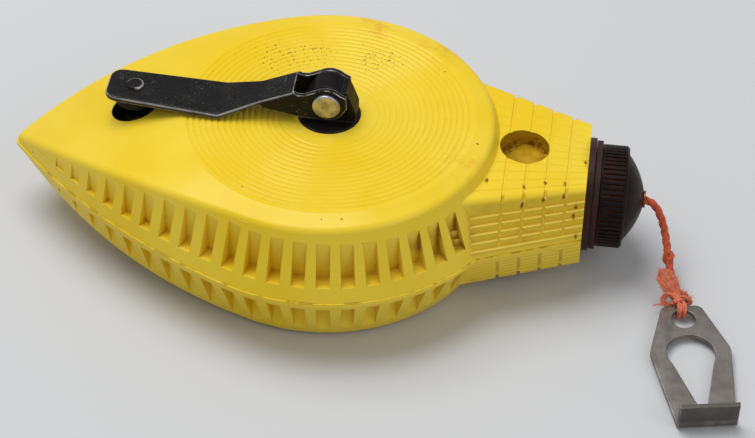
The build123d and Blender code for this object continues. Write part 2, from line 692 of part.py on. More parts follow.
# Crank: bent sheet with two ears on a cross pin
with BuildPart() as crank_arm:
    tip_z = CREASE_Z + (CREASE_X - ARM_TIP_X) * tan(radians(ARM_SLOPE))
    top_line = [(ARM_TIP_X, tip_z), (CREASE_X, CREASE_Z), WAIST, WEB_END]
    with BuildSketch(Plane.XZ):
        with BuildLine():
            Polyline(*top_line, *[(x, z - SHEET) for x, z in reversed(top_line)], close=True)
        make_face()
        crease = [vertex for vertex in vertices() if abs(vertex.X - CREASE_X) < NEAR]
        fillet(max(crease, key=lambda vertex: vertex.Y), radius=CREASE_BEND)
        fillet(min(crease, key=lambda vertex: vertex.Y), radius=CREASE_BEND + SHEET)
    extrude(amount=2 * CREASE_HALF, both=True)
    with BuildSketch(Plane.XY):
        side_line = [
            (WEB_END[0], ARM_HALF_WIDTH),
            (WAIST[0], ARM_HALF_WIDTH),
            (CREASE_X, CREASE_HALF),
            (ARM_TIP_X, ARM_TIP_HALF),
        ]
        with BuildLine():
            Polyline(*side_line, *[(x, -y) for x, y in reversed(side_line)], close=True)
        make_face()
        fillet(vertices().group_by(Axis.X)[0], radius=ARM_TIP_ROUND)
        fillet([vertex for vertex in vertices() if abs(vertex.X - CREASE_X) < CLOSE_BY], radius=CREASE_ROUND)
        fillet([vertex for vertex in vertices() if abs(vertex.X - WAIST[0]) < CLOSE_BY], radius=CREASE_ROUND)
    extrude(amount=2 * TOP_Z, mode=Mode.INTERSECT)
    for side in (-ARM_HALF_WIDTH, ARM_HALF_GAP):
        with BuildSketch(Plane.XZ.offset(-side)):
            with BuildLine():
                Polyline(WAIST, WEB_END, *EAR_BACK, close=True)
            make_face()
            with BuildLine():
                Polyline(*EAR_HEEL, close=True)
            make_face()
            with Locations((0, PIN_Z)):
                Circle(EAR_RADIUS)
                Circle(PIN_RADIUS, mode=Mode.SUBTRACT)
        extrude(amount=-(ARM_HALF_WIDTH - ARM_HALF_GAP))
    bend_x, bend_z = (WAIST[0] + WEB_END[0]) / 2, (WAIST[1] + WEB_END[1]) / 2
    bends = []
    for edge in crank_arm.edges():
        point = edge @ 0.5
        beside = abs(abs(point.Y) - ARM_HALF_WIDTH) < NEAR
        if beside and hypot(point.X - bend_x, point.Z - bend_z) < 2 * SHEET:
            bends.append(edge)
    fillet(bends, radius=ARM_EDGE_ROUND)
    with BuildSketch(CRANK_PLANE):
        Circle(RIVET_RADIUS)
    extrude(amount=2 * SHEET, both=True, mode=Mode.SUBTRACT)

with BuildPart() as crank_pin:
    with BuildSketch(Plane.XZ):
        with Locations((0, PIN_Z)):
            Circle(PIN_RADIUS)
    extrude(amount=ARM_HALF_WIDTH, both=True)
    for side in (1, -1):
        with BuildSketch(Plane.XZ.offset(side * ARM_HALF_WIDTH)):
            with Locations((0, PIN_Z)):
                Circle(PIN_HEAD[0])
        extrude(amount=side * PIN_HEAD[1])
    pin_edges = crank_pin.edges().group_by(Axis.Y)
    fillet(pin_edges[0] + pin_edges[-1], radius=PIN_HEAD[2])

KNOB_TOP = -SHEET * cos(radians(ARM_SLOPE)) - KNOB_GAP
with BuildPart(CRANK_PLANE) as crank_knob:
    with BuildSketch(CRANK_PLANE.offset(KNOB_TOP)):
        Circle(KNOB_RADIUS)
    extrude(amount=-KNOB_HEIGHT)
    fillet(crank_knob.edges().sort_by(Axis.Z)[0], radius=KNOB_ROUND)
    with BuildSketch(CRANK_PLANE):
        Circle(KNOB_BORE)
    extrude(amount=-2 * KNOB_HEIGHT, mode=Mode.SUBTRACT)
    with BuildSketch(CRANK_PLANE.offset(KNOB_TOP - KNOB_HEIGHT)):
        Circle(KNOB_WELL[0])
    extrude(amount=KNOB_WELL[1], mode=Mode.SUBTRACT)

with BuildPart() as knob_rivet:
    tail_low = KNOB_TOP - KNOB_HEIGHT + KNOB_GAP / 2
    with BuildSketch(CRANK_PLANE):
        Circle(RIVET_HEAD[0])
    extrude(amount=RIVET_HEAD[1])
    fillet(knob_rivet.edges().sort_by(Axis.Z)[-1], radius=RIVET_HEAD[2])
    with BuildSketch(CRANK_PLANE):
        Circle(RIVET_RADIUS)
    extrude(amount=tail_low)
    with BuildSketch(CRANK_PLANE.offset(tail_low)):
        Circle(RIVET_TAIL[0])
    extrude(amount=RIVET_TAIL[1])

# Spout held in the neck, its gasket, and the screw cap with its nose
with BuildPart() as neck_spout:
    turned(
        [
            (SLEEVE_X, SPOUT_BORE),
            (SPOUT_END_X, SPOUT_BORE),
            (SPOUT_END_X, SPOUT_THREAD_RADIUS),
            (COLLAR_END_X, SPOUT_THREAD_RADIUS),
            (COLLAR_END_X, COLLAR_RADIUS),
            (NECK_END_X, COLLAR_RADIUS),
            (NECK_END_X, SLEEVE_RADIUS),
            (SPOUT_RIB_X[1], SLEEVE_RADIUS),
            (SPOUT_RIB_X[1], SPOUT_RIB_RADIUS),
            (SPOUT_RIB_X[0], SPOUT_RIB_RADIUS),
            (SPOUT_RIB_X[0], SLEEVE_RADIUS),
            (SLEEVE_X, SLEEVE_RADIUS),
        ]
    )

with BuildPart() as cap_gasket:
    turned(ring_points(*GASKET_X, *GASKET_RADII))

with BuildPart() as screw_cap:
    with BuildSketch(Plane.XZ.shift_origin((0, 0, PARTING_Z))):
        with BuildLine():
            ThreePointArc(CAP_DOME_FOOT, CAP_DOME_MIDDLE, CAP_NOSE)
            Polyline(
                CAP_NOSE,
                (CAP_WELL_END_X, CAP_NOSE[1]),
                (CAP_WELL_END_X, CAP_WELL_RADIUS),
                (CAP_BORE_END_X, CAP_WELL_RADIUS),
                (CAP_BORE_END_X, CAP_BORE),
                (CAP_X, CAP_BORE),
                (CAP_X, CAP_RADIUS),
                (CAP_RIM_X, CAP_RADIUS),
                CAP_SHOULDER,
                CAP_DOME_FOOT,
            )
        make_face()
    revolve(axis=NECK_LINE)
    with BuildSketch(Plane.YZ.offset(KNURL_X[0])):
        with Locations((0, PARTING_Z)):
            with PolarLocations(CAP_RADIUS, KNURL_COUNT):
                Rectangle(2 * KNURL_DEPTH, KNURL_WIDTH)
    extrude(amount=KNURL_X[1] - KNURL_X[0], mode=Mode.SUBTRACT)

with BuildPart() as nose_eyelet:
    turned(
        [
            (EYELET_X[0], EYELET_BORE),
            (EYELET_X[2], EYELET_BORE),
            (EYELET_X[2], EYELET_FLANGE),
            (EYELET_X[1], EYELET_FLANGE),
            (EYELET_X[1], EYELET_TUBE),
            (EYELET_X[0], EYELET_TUBE),
        ]
    )

with BuildPart() as felt_wiper:
    turned(ring_points(*WIPER_X, *WIPER_RADII))

# Line
with BuildPart() as inner_line:
    inner_path = cord(INNER_ROUTE)

with BuildPart() as nose_line:
    turned(ring_points(*NOSE_LINE_X, 0, LINE_RADIUS))

with BuildPart() as line_lead:
    lead_path = cord(LEAD_ROUTE)

cords = {"inner line": (inner_path, inner_line), "lead": (lead_path, line_lead)}
for cord_name, (cord_path, cord_part) in cords.items():
    plain_volume = pi * LINE_RADIUS**2 * cord_path.length
    volume_ratio = round(cord_part.part.volume / plain_volume, 4)
    print(cord_name, "length", round(cord_path.length, 2), "volume ratio", volume_ratio)
print("lead radii", [round(radius, 1) for radius in bend_radii(LEAD_ROUTE)])

# Knots and the frayed tail, as plain stand-in solids
with BuildPart() as stopper_knot:
    with Locations(lead_path @ STOPPER_SHARE):
        Sphere(STOPPER_RADIUS)

with BuildPart() as hook_knot:
    with Locations(Plane(LOOP_AT, x_dir=HOOK_ALONG, z_dir=HOOK_ACROSS)):
        Torus(LOOP_RADIUS, LOOP_STRAND)
    with Locations(KNOT_AT):
        Sphere(KNOT_RADIUS)

with BuildPart() as line_tail:
    tail_start = KNOT_AT + Vector(*TAIL_START)
    tail_run = Vector(*TAIL_TIP) - tail_start
    tail_side = tail_run.cross(Vector(*TAIL_FACES))
    with BuildSketch(Plane(tail_start, x_dir=tail_side, z_dir=tail_run)):
        Ellipse(*TAIL_ROOT)
    with BuildSketch(Plane(tail_start + tail_run, x_dir=tail_side, z_dir=tail_run)):
        Ellipse(*TAIL_END)
    loft()

# Hook
with BuildPart() as end_hook:
    with BuildSketch(HOOK_PLANE.offset(-HOOK_SHEET / 2)):
        right = [HOOK_TOP, HOOK_WIDE, HOOK_END]
        with BuildLine():
            Polyline(*right, *[(-u, v) for u, v in reversed(right)], close=True)
        make_face()
        fillet(vertices().group_by(Axis.Y)[0], radius=HOOK_TOP_ROUND)
        sides = [vertex for vertex in vertices() if abs(vertex.Y - HOOK_WIDE[1]) < CLOSE_BY]
        fillet(sides, radius=HOOK_SIDE_ROUND)
        Circle(HOOK_HOLE_RADIUS, mode=Mode.SUBTRACT)
        with Locations((0, WINDOW_CENTRE)):
            Circle(WINDOW_RADIUS, mode=Mode.SUBTRACT)
        with BuildLine():
            Polyline(
                (WINDOW_RADIUS, WINDOW_CENTRE),
                WINDOW_TIP,
                (-WINDOW_TIP[0], WINDOW_TIP[1]),
                (-WINDOW_RADIUS, WINDOW_CENTRE),
                close=True,
            )
        make_face(mode=Mode.SUBTRACT)
        with Locations((0, WINDOW_TIP[1])):
            Circle(WINDOW_TIP[0], mode=Mode.SUBTRACT)
    extrude(amount=HOOK_SHEET)
    with BuildSketch(HOOK_PLANE.offset(-HOOK_SHEET / 2)):
        taper = (HOOK_WIDE[0] - HOOK_END[0]) / (HOOK_END[1] - HOOK_WIDE[1])
        tab = [HOOK_END, (HOOK_END[0] + taper * HOOK_SHEET, HOOK_END[1] - HOOK_SHEET)]
        with BuildLine():
            Polyline(*tab, *[(-u, v) for u, v in reversed(tab)], close=True)
        make_face()
    extrude(amount=HOOK_TAB_HEIGHT)
    outside, inside = [], []
    for edge in end_hook.edges():
        point = HOOK_PLANE.to_local_coords(edge @ 0.5)
        if abs(point.Y - HOOK_END[1]) < NEAR and abs(point.Z + HOOK_SHEET / 2) < NEAR:
            outside.append(edge)
        if abs(point.Y - HOOK_END[1] + HOOK_SHEET) < NEAR and abs(point.Z - HOOK_SHEET / 2) < NEAR:
            inside.append(edge)
    fillet(outside, radius=HOOK_BEND)
    fillet(inside, radius=HOOK_BEND_INSIDE)

nodes = {
    "upper_case": upper_case,
    "lower_case": lower_case,
    "case_screws": case_screws,
    "neck_spout": neck_spout,
    "hub_seal": hub_seal,
    "lower_bush": lower_bush,
    "thrust_washer": thrust_washer,
    "inner_line": inner_line,
    "spool_drum": spool_drum,
    "spool_flange": spool_flange,
    "wound_line": wound_line,
    "drive_hub": drive_hub,
    "hub_screw": hub_screw,
    "hub_washer": hub_washer,
    "crank_arm": crank_arm,
    "crank_pin": crank_pin,
    "knob_rivet": knob_rivet,
    "crank_knob": crank_knob,
    "cap_gasket": cap_gasket,
    "nose_line": nose_line,
    "line_lead": line_lead,
    "stopper_knot": stopper_knot,
    "hook_knot": hook_knot,
    "line_tail": line_tail,
    "screw_cap": screw_cap,
    "nose_eyelet": nose_eyelet,
    "felt_wiper": felt_wiper,
    "end_hook": end_hook,
}
os.makedirs("parts", exist_ok=True)
for label, node in nodes.items():
    node.part.label = label
    export_step(node.part, f"parts/{label}.step")
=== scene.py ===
"""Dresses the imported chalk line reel: twisted line and knots, worn plastic, painted steel and the stage."""

import json

import bpy
import numpy as np
from mathutils import Matrix, Vector


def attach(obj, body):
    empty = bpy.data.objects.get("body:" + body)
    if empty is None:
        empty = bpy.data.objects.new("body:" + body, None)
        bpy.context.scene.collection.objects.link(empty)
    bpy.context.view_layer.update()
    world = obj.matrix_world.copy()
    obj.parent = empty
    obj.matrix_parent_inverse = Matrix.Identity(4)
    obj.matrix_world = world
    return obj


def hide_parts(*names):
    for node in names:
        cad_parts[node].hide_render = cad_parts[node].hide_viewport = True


bl_info = {
    "name": "Chalk line reel",
    "version": (1, 0, 0),
    "blender": (4, 5, 0),
    "location": "View3D > Sidebar > Chalk reel",
    "description": "Builds the looks of a hand-cranked chalk line reel round its packed solids",
    "category": "Object",
}

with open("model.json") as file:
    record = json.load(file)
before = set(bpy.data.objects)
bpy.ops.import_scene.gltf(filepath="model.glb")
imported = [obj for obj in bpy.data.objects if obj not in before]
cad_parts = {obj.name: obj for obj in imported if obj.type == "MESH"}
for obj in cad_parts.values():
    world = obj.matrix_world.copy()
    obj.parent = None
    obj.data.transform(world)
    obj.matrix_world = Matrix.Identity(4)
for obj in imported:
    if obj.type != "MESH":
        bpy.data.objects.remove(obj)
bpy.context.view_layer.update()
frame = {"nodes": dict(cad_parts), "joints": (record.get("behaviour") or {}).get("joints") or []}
MM = 0.001

# Width of the picture in pixels, the unit of the focal length
IMAGE_WIDTH = 755

# The free line's route, the same points as in the part's source, in millimetres
LEAD_ROUTE = [
    (95.3, 0, 22),
    (98.5, -0.3, 21.3),
    (101.1, -1.9, 17.6),
    (102.9, -4.7, 13.4),
    (104.1, -8.6, 10.0),
    (105.2, -13.4, 7.2),
    (106.5, -17.6, 5.3),
    (107.9, -20.9, 4.1),
]

# Where the line is tied to the hook: the loop's middle and the way across the hook come from its joint
HOOK_JOINT = next(joint for joint in frame["joints"] if joint["name"] == "hook_swing")
LOOP_AT = np.array(HOOK_JOINT["pos_m"])
HOOK_ACROSS = np.array(HOOK_JOINT["axis"])
UP = np.array((0.0, 0.0, 1.0))
HOOK_ALONG = np.cross(UP, HOOK_ACROSS)
KNOT_AT = LOOP_AT - 4.1 * MM * HOOK_ALONG + 0.6 * MM * UP

# The frayed tail's root, its tip and the way that its flat side faces, as in the part's source
TAIL_ROOT = KNOT_AT + np.array((-0.6, -1.0, 1.7)) * MM
TAIL_TIP = np.array((102.5, -17.4, 10.0)) * MM
TAIL_FACES = np.array((0.085, -0.731, 0.677))

# The knot at the hook: its middle, and its turns, its loose end and the end of the line's way into it, which
# are right, up and out of the middle in millimetres, as seen square to the tail
KNOT_MIDDLE = LOOP_AT + MM * (0.5 * HOOK_ACROSS - 1.0 * HOOK_ALONG + 1.0 * UP)
KNOT_TURNS = [
    [(0.8, 1.3, 0.7), (-0.9, 2.3, 0.3), (-2.4, 3.6, -0.5), (-4.1, 3.2, -1.1), (-4.7, 1.5, -1.5)]
    + [(-4.0, 0.0, -1.8), (-2.2, 0.3, -1.4), (-0.5, 0.9, 0.4), (1.3, 1.2, 0.2)],
    [(-1.3, 0.9, 0.7), (0.3, 2.4, 0.9), (2.3, 2.0, 0.1), (3.8, 0.5, -1.4), (2.5, 0.1, -1.6)]
    + [(0.6, 0.6, 0.3), (-1.7, 1.0, 0.3)],
    [(-2.2, 1.9, -1.6), (-0.2, 3.5, -1.0), (1.9, 3.3, -1.3), (2.6, 1.6, -1.9), (0.6, 1.5, -1.5)]
    + [(-1.4, 1.9, -0.9), (0.4, 3.0, 0.3)],
]
LOOSE_END = [(-2.4, 0.5, -1.3), (-4.2, 0.2, -1.5), (-6.0, 0.5, -1.8), (-7.7, 0.1, -2.1)]
WAY_IN_END = (0.2, 0.9, -1.0)

# Height of the parting line, which is the axis of the cap and spout too, in metres
NECK_AXIS_Z = 0.022

# Marks on the case, in millimetres: middles of the specks in the rings, of the stains by the rim and in the
# pockets, of the chalk along the foot of the neck recess's wall, and of the spots on the neck
RING_SPECKS = [(-19, 25, 44), (-9, 27, 44), (11, 28, 44)]
RIM_STAINS = [(9.5, 44.8, 43), (29.2, 36.1, 43), (39.7, -16.3, 43.5)]
POCKET_STAINS = [(42.8, -31.8, 34), (43.8, -33, 30), (38.6, -36.2, 35), (39.6, -38, 30.5), (33, -41, 34)]
RECESS_CHALK = [
    *[(53.6, 3.3, 33.0), (54.8, 5.2, 33.0), (56.0, 6.9, 33.7), (60.7, 7.1, 33.9)],
    *[(62.1, 6.6, 35.0), (63.5, 5.6, 33.9), (64.2, 4.4, 33.0)],
]
NECK_SPOTS = [
    *[(60.0, -17.8, 37.9), (59.8, -22.1, 34.9), (65.9, -14.8, 37.6), (65.8, -20.1, 35.6)],
    *[(71.7, -14.1, 37.5), (71.8, -17.8, 35.9), (75.5, -17.6, 32.1), (75.1, -18.7, 29.5)],
    *[(76.3, -21.3, 23.6), (48.9, -17.1, 38.8), (77.1, -3.6, 37.3)],
]

# How many times over a distance along each axis counts in a spot, which makes spots short along the neck
SPOT_STRETCH = np.array((1.8, 1.0, 1.0))

# Heights of the neck's steps below the parting line, in metres: an edge and the way to the next; painted
# shadow lines are drawn along them
STEP_EDGE_Z = 0.0196
STEP_RISE = 0.00225

# The deck's turned rings, in metres: the first groove's radius and the way to the next
RING_FIRST = 0.015
RING_PITCH = 0.0018

# Where the finishes change, in metres: each pair is the start and the end of a soft change
NECK_START = (0.044, 0.047)
FLANK_FOOT = (0.0232, 0.0236)
FLANK_HEAD = (0.0388, 0.0380)
FLANK_SIDE = (0.0095, 0.0110)
TREAD_HEAD = (0.0366, 0.0360)
UNDER_SEAM = (0.0214, 0.0209)
SEAM_HALF = (0.00028, 0.00012)
HUB_SCUFFS = (0.0150, 0.0105)
RINGS_END = (0.0445, 0.0435)
DECK_FROM = (0.043, 0.0434)
RECESS_WALL = (0.00748, 0.00742)
RECESS_HEAD = (0.0386, 0.0378)
RECESS_FOOT = (0.030, 0.0322)
KNOB_RECESS_WALL = (0.00731, 0.00724)
KNOB_RECESS_FOOT = (0.029, 0.0305)
ARM_WEAR_END = (-0.0195, -0.0215)
EAR_WEAR_END = (-0.009, -0.0105)
RIVET_RING = (0.0019, 0.0023)
TAB_FOOT = (0.0030, 0.0042)
RIB_ROOTS = (0.0153, 0.01495)
RIB_ENDS = (0.0893, 0.0890)
DOME_START = (0.0900, 0.0925)
NOSE_CHALK = (0.0062, 0.0030)

# Axes of the round recess in the neck, the rivet at the crank's end and the recess under its knob, in metres
RECESS_X = 0.0587
RIVET_X = -0.0584
KNOB_RECESS_X = -0.0588

# Turn about Z of the grain in the hook's steel, in radians, and the roughness of all cotton
HOOK_GRAIN_TURN = -0.204
COTTON_ROUGH = 0.92

# The stage: half the floor's width and the lamps' places and widths in metres, their power and the sky's
FLOOR_REACH = 3
LAMPS = (("key", (-0.28, 0.20, 1.02), 8.0, 0.8), ("fill", (0.8, -0.5, 0.7), 1.6, 0.6))
SKY_STRENGTH = 0.42


def length_property(name, description, default):
    """A length in metres that a user may change."""
    return bpy.props.FloatProperty(name=name, description=description, default=default, unit="LENGTH")


def count_property(name, description, default):
    """A number of things that a user may change."""
    return bpy.props.IntProperty(name=name, description=description, default=default, min=2)


class ReelSizes(bpy.types.PropertyGroup):
    """Sizes of the pieces that are made here."""

    line_diameter: length_property("Line diameter", "Width of the twisted line with its chalk", 0.0025)
    line_lay: length_property("Line lay", "Length in which a strand goes once round the line", 0.0085)
    line_strands: count_property("Strands", "Strands twisted into the line", 3)
    lead_length: length_property("Lead length", "Free line from the nose to the hook's knot", 0.0328)
    stopper_share: bpy.props.FloatProperty(
        name="Stopper place",
        description="Share of the lead above the stopper knot",
        default=0.625,
        subtype="FACTOR",
    )
    stopper_size: length_property("Stopper size", "Reach of the stopper knot's turns", 0.0013)
    knot_strand: length_property("Knot strand", "Radius of the loosened line in the knot", 0.00085)
    loop_radius: length_property("Loop radius", "Middle of the loop through the hook's hole", 0.00198)
    loop_strand: length_property("Loop strand", "Radius of the line in the loop", 0.00082)
    tail_yarns: count_property("Tail yarns", "Yarns in each of the tail's layers", 15)
    tail_width: length_property("Tail width", "Half width of the tail where it is widest", 0.0026)
    fibre_radius: length_property("Fibre radius", "Radius of a loose fibre", 0.00004)
    lead_fibres: count_property("Lead fibres", "Loose fibres on the lead", 70)
    knot_fibres: count_property("Knot fibres", "Loose fibres tried round the knot", 260)
    tail_fibres: count_property("Tail fibres", "Loose fibres on the tail", 330)
    camera_distance: length_property("Camera distance", "From the camera to the point it looks at", 0.7)
    camera_focal: bpy.props.FloatProperty(
        name="Focal length", description="Focal length in pixels of the picture", default=2348.065
    )
    camera_turn: bpy.props.FloatVectorProperty(
        name="Camera turn",
        description="Azimuth, elevation and roll of the camera",
        default=(0.11617, 0.74405, 0.018902),
        subtype="EULER",
    )
    camera_target: bpy.props.FloatVectorProperty(
        name="Camera target",
        description="The point in the picture's middle",
        default=(0.017184, -0.018052, 0.02),
        subtype="TRANSLATION",
    )


def colour_property(name, description, default):
    """A colour that a user may change."""
    return bpy.props.FloatVectorProperty(
        name=name, description=description, default=default, subtype="COLOR", min=0, max=1
    )


class ReelColours(bpy.types.PropertyGroup):
    """Colours of the finishes."""

    case: colour_property("Case", "Moulded yellow plastic", (0.82, 0.57, 0.012))
    case_worn: colour_property("Worn case", "Yellow plastic, rubbed and faded", (0.86, 0.64, 0.05))
    # Also the painted highlight on the neck's treads
    scuffed_and_highlight: colour_property("Scuffed case", "Yellow plastic scraped pale by the hub", (0.88, 0.70, 0.17))
    chalk: colour_property("Chalk", "Dark red-brown chalk that has settled", (0.13, 0.030, 0.008))
    rust: colour_property("Rust", "Red-brown spots in the neck's grooves", (0.20, 0.042, 0.006))
    # Also, darker, the painted shade on the neck's risers and the painted shadow lines below its seam
    stain_and_shade: colour_property("Stain", "Thin chalk rubbed into the plastic", (0.66, 0.27, 0.012))
    # Also the painted shade in the neck's recess, mixed with its dirt
    grubby_and_shade: colour_property("Grubby case", "Old chalk and dirt in the neck's recess", (0.25, 0.085, 0.004))
    paint: colour_property("Paint", "Black paint of the crank", (0.008, 0.0075, 0.0075))
    bare_steel: colour_property("Bare steel", "Steel where the paint is gone", (0.50, 0.48, 0.45))
    # Also painted on the walls of the recess under the knob as shade
    hub: colour_property("Hub", "Black plastic of the hub and knob", (0.006, 0.005, 0.005))
    pin: colour_property("Pin", "Mottled metal of the cross pin", (0.50, 0.52, 0.64))
    hook: colour_property("Hook", "Worn stamped steel", (0.255, 0.235, 0.215))
    cap: colour_property("Cap", "Near-black plastic of the cap", (0.009, 0.0065, 0.006))
    collar: colour_property("Collar", "Dark red-brown spout and its collar", (0.034, 0.0145, 0.011))
    dust: colour_property("Dust", "Red chalk dust on dark plastic", (0.115, 0.027, 0.015))
    line: colour_property("Line", "Chalked line", (0.60, 0.085, 0.020))
    fray: colour_property("Fray", "Paler loose fibres of the line", (0.80, 0.195, 0.090))
    loose: colour_property("Loose fibres", "Palest fibres of the frayed line", (0.9, 0.36, 0.22))
    haze: colour_property("Haze", "Dust over the crank's paint", (0.036, 0.033, 0.030))
    hub_dull: colour_property("Dull hub", "Black plastic, handled", (0.014, 0.011, 0.010))
    hub_edge: colour_property("Hub edge", "Black plastic, greyed at its edges", (0.09, 0.085, 0.08))
    cap_edge: colour_property("Cap edge", "Rubbed edges of the cap", (0.07, 0.055, 0.05))
    pin_dull: colour_property("Dull pin", "Dark blotches on the cross pin", (0.36, 0.33, 0.28))
    eyelet: colour_property("Eyelet", "Brass of the nose's ring", (0.40, 0.15, 0.07))
    eyelet_dull: colour_property("Dull eyelet", "Stained brass", (0.22, 0.05, 0.022))
    gasket: colour_property("Gasket", "Rubber between collar and cap", (0.030, 0.014, 0.012))
    felt: colour_property("Felt", "Felt of the wiper and the seal", (0.25, 0.20, 0.18))
    spool: colour_property("Spool", "Pale plastic of the spool", (0.60, 0.57, 0.50))
    bush: colour_property("Bush", "Brass of the lower bush", (0.62, 0.42, 0.16))
    bush_dull: colour_property("Dull bush", "Dark blotches on the bush", (0.34, 0.20, 0.07))
    screw_dull: colour_property("Dull screws", "Dark blotches on the screws", (0.30, 0.28, 0.26))
    floor: colour_property("Floor", "Pale floor", (0.60, 0.61, 0.63))


def sizes():
    """The sizes of this scene."""
    return bpy.context.scene.reel_sizes


def colours():
    """The colours of this scene."""
    return bpy.context.scene.reel_colours


def unit(vectors):
    """Vectors divided by their lengths."""
    vectors = np.asarray(vectors, float)
    return vectors / np.linalg.norm(vectors, axis=-1, keepdims=True)


def grid_faces(rows, columns, close_rows=False, close_columns=False):
    """Corner numbers of the quads of a grid whose points are counted along the columns first."""
    row = np.arange(rows if close_rows else rows - 1)
    column = np.arange(columns if close_columns else columns - 1)
    row, column = np.meshgrid(row, column, indexing="ij")
    next_row = (row + 1) % rows
    next_column = (column + 1) % columns
    corners = [row * columns + column, row * columns + next_column]
    corners += [next_row * columns + next_column, next_row * columns + column]
    return np.stack(corners, axis=-1).reshape(-1, 4)


def make_piece(name, points, blocks, uvs=None):
    """One smooth mesh object from points and blocks of faces, with a UV for every corner if given."""
    mesh = bpy.data.meshes.new(name)
    faces = []
    for block in blocks:
        faces += block.tolist()
    mesh.from_pydata(points, [], faces)
    mesh.polygons.foreach_set("use_smooth", np.ones(len(faces), bool))
    if uvs is not None:
        mesh.uv_layers.new(name="fibre").uv.foreach_set("vector", np.asarray(uvs, np.float32).ravel())
    mesh.update()
    piece = bpy.data.objects.new(name, mesh)
    bpy.context.scene.collection.objects.link(piece)
    return piece


def path_frames(paths, reference, closed):
    """Normals and binormals along paths; a normal is the reference less its part along the path."""
    if closed:
        tangent = unit(np.roll(paths, -1, axis=-2) - np.roll(paths, 1, axis=-2))
    else:
        tangent = unit(np.gradient(paths, axis=-2))
    reference = np.broadcast_to(np.asarray(reference, float), paths.shape)
    normal = unit(reference - tangent * np.sum(reference * tangent, axis=-1, keepdims=True))
    return normal, np.cross(tangent, normal)


def tubes(paths, radii, reference, sides=8, closed=False):
    """Points, blocks of faces and UVs of tubes: path + radius (cos a normal + sin a binormal).

    Their ends are flat. U is the distance along a tube, V the way round it.
    """
    paths = np.asarray(paths, float)
    count, rows = paths.shape[:2]
    normal, binormal = path_frames(paths, reference, closed)
    angle = np.linspace(0, 2 * np.pi, sides, endpoint=False)[None, None, :, None]
    outward = np.cos(angle) * normal[:, :, None, :] + np.sin(angle) * binormal[:, :, None, :]
    radii = np.broadcast_to(np.asarray(radii, float), (count, rows))
    points = paths[:, :, None, :] + radii[:, :, None, None] * outward
    start = np.arange(count)[:, None, None] * rows * sides
    blocks = [(start + grid_faces(rows, sides, closed, True)[None]).reshape(-1, 4)]
    steps = np.linalg.norm(np.diff(paths, axis=1, append=paths[:, :1]), axis=-1)
    distance = np.cumsum(np.pad(steps, ((0, 0), (1, 0))), axis=1)
    spans = rows if closed else rows - 1
    low = np.broadcast_to(distance[:, :spans, None], (count, spans, sides))
    high = np.broadcast_to(distance[:, 1 : spans + 1, None], (count, spans, sides))
    here = np.broadcast_to(np.arange(sides) / sides, (count, spans, sides))
    there = here + 1 / sides
    across = np.stack([low, low, high, high], axis=-1)
    round_it = np.stack([here, there, there, here], axis=-1)
    uvs = np.stack([across, round_it], axis=-1).reshape(-1, 2)
    if not closed:
        ring = np.arange(sides)
        first = start[:, 0] + ring[::-1][None]
        last = start[:, 0] + (rows - 1) * sides + ring[None]
        blocks += [first, last]
        uvs = np.concatenate([uvs, np.zeros((2 * count * sides, 2))])
    return points.reshape(-1, 3), blocks, uvs


def join(*parts):
    """Several sets of points, blocks of faces and UVs as one."""
    points, blocks, uvs = [], [], []
    count = 0
    for part_points, part_blocks, part_uvs in parts:
        points.append(part_points)
        blocks += [block + count for block in part_blocks]
        uvs.append(part_uvs)
        count += len(part_points)
    return np.concatenate(points), blocks, np.concatenate(uvs)


def route_points(name, route, steps=24):
    """Points along the smooth NURBS line whose control points are the route's, in metres."""
    curve = bpy.data.curves.new(name, "CURVE")
    curve.dimensions = "3D"
    spline = curve.splines.new("NURBS")
    spline.points.add(len(route) - 1)
    controls = np.ones((len(route), 4))
    controls[:, :3] = np.array(route, float)
    spline.points.foreach_set("co", controls.ravel())
    spline.order_u = 3
    spline.use_endpoint_u = True
    spline.resolution_u = steps
    holder = bpy.data.objects.new(name, curve)
    bpy.context.scene.collection.objects.link(holder)
    bpy.context.view_layer.update()
    mesh = bpy.data.meshes.new_from_object(holder)
    points = np.zeros(len(mesh.vertices) * 3)
    mesh.vertices.foreach_get("co", points)
    bpy.data.objects.remove(holder)
    bpy.data.curves.remove(curve)
    bpy.data.meshes.remove(mesh)
    return points.reshape(-1, 3)


def distances(points):
    """Distance of each point from the first along the path."""
    steps = np.linalg.norm(np.diff(points, axis=0), axis=1)
    return np.concatenate([[0], np.cumsum(steps)])


def rope(points, reference, radius, lay, strands, closed=False):
    """Strands wound about a path: tubes round path + offset (cos a, sin a), with a turn of a in each lay."""
    normal, binormal = path_frames(points, reference, closed)
    turns = distances(points) / lay
    if closed:
        whole = distances(points)[-1] + np.linalg.norm(points[0] - points[-1])
        turns = turns * lay / whole * max(1, round(whole / lay))
    strand_radius = 1.12 * radius / (1 + 1 / np.sin(np.pi / strands))
    angle = 2 * np.pi * (turns[None, :] + np.arange(strands)[:, None] / strands)
    outward = np.cos(angle)[..., None] * normal + np.sin(angle)[..., None] * binormal
    paths = points[None] + (radius - strand_radius) * outward
    return tubes(paths, strand_radius, outward, sides=10, closed=closed)


def trefoil(centre, axis, size, stretch, count=150):
    """Closed trefoil about an axis, (2 + cos 3t) round it twice and sin 3t along it, and its way out."""
    axis = unit(axis)
    side = unit(np.cross(axis, (0.3, 0.2, 0.9)))
    other = np.cross(axis, side)
    t = np.linspace(0, 2 * np.pi, count, endpoint=False)[:, None]
    reach = size * (2 + np.cos(3 * t)) / 3
    round_axis = np.cos(2 * t) * side + np.sin(2 * t) * other
    path = centre + reach * round_axis + stretch * size * np.sin(3 * t) * axis
    return path, path - centre


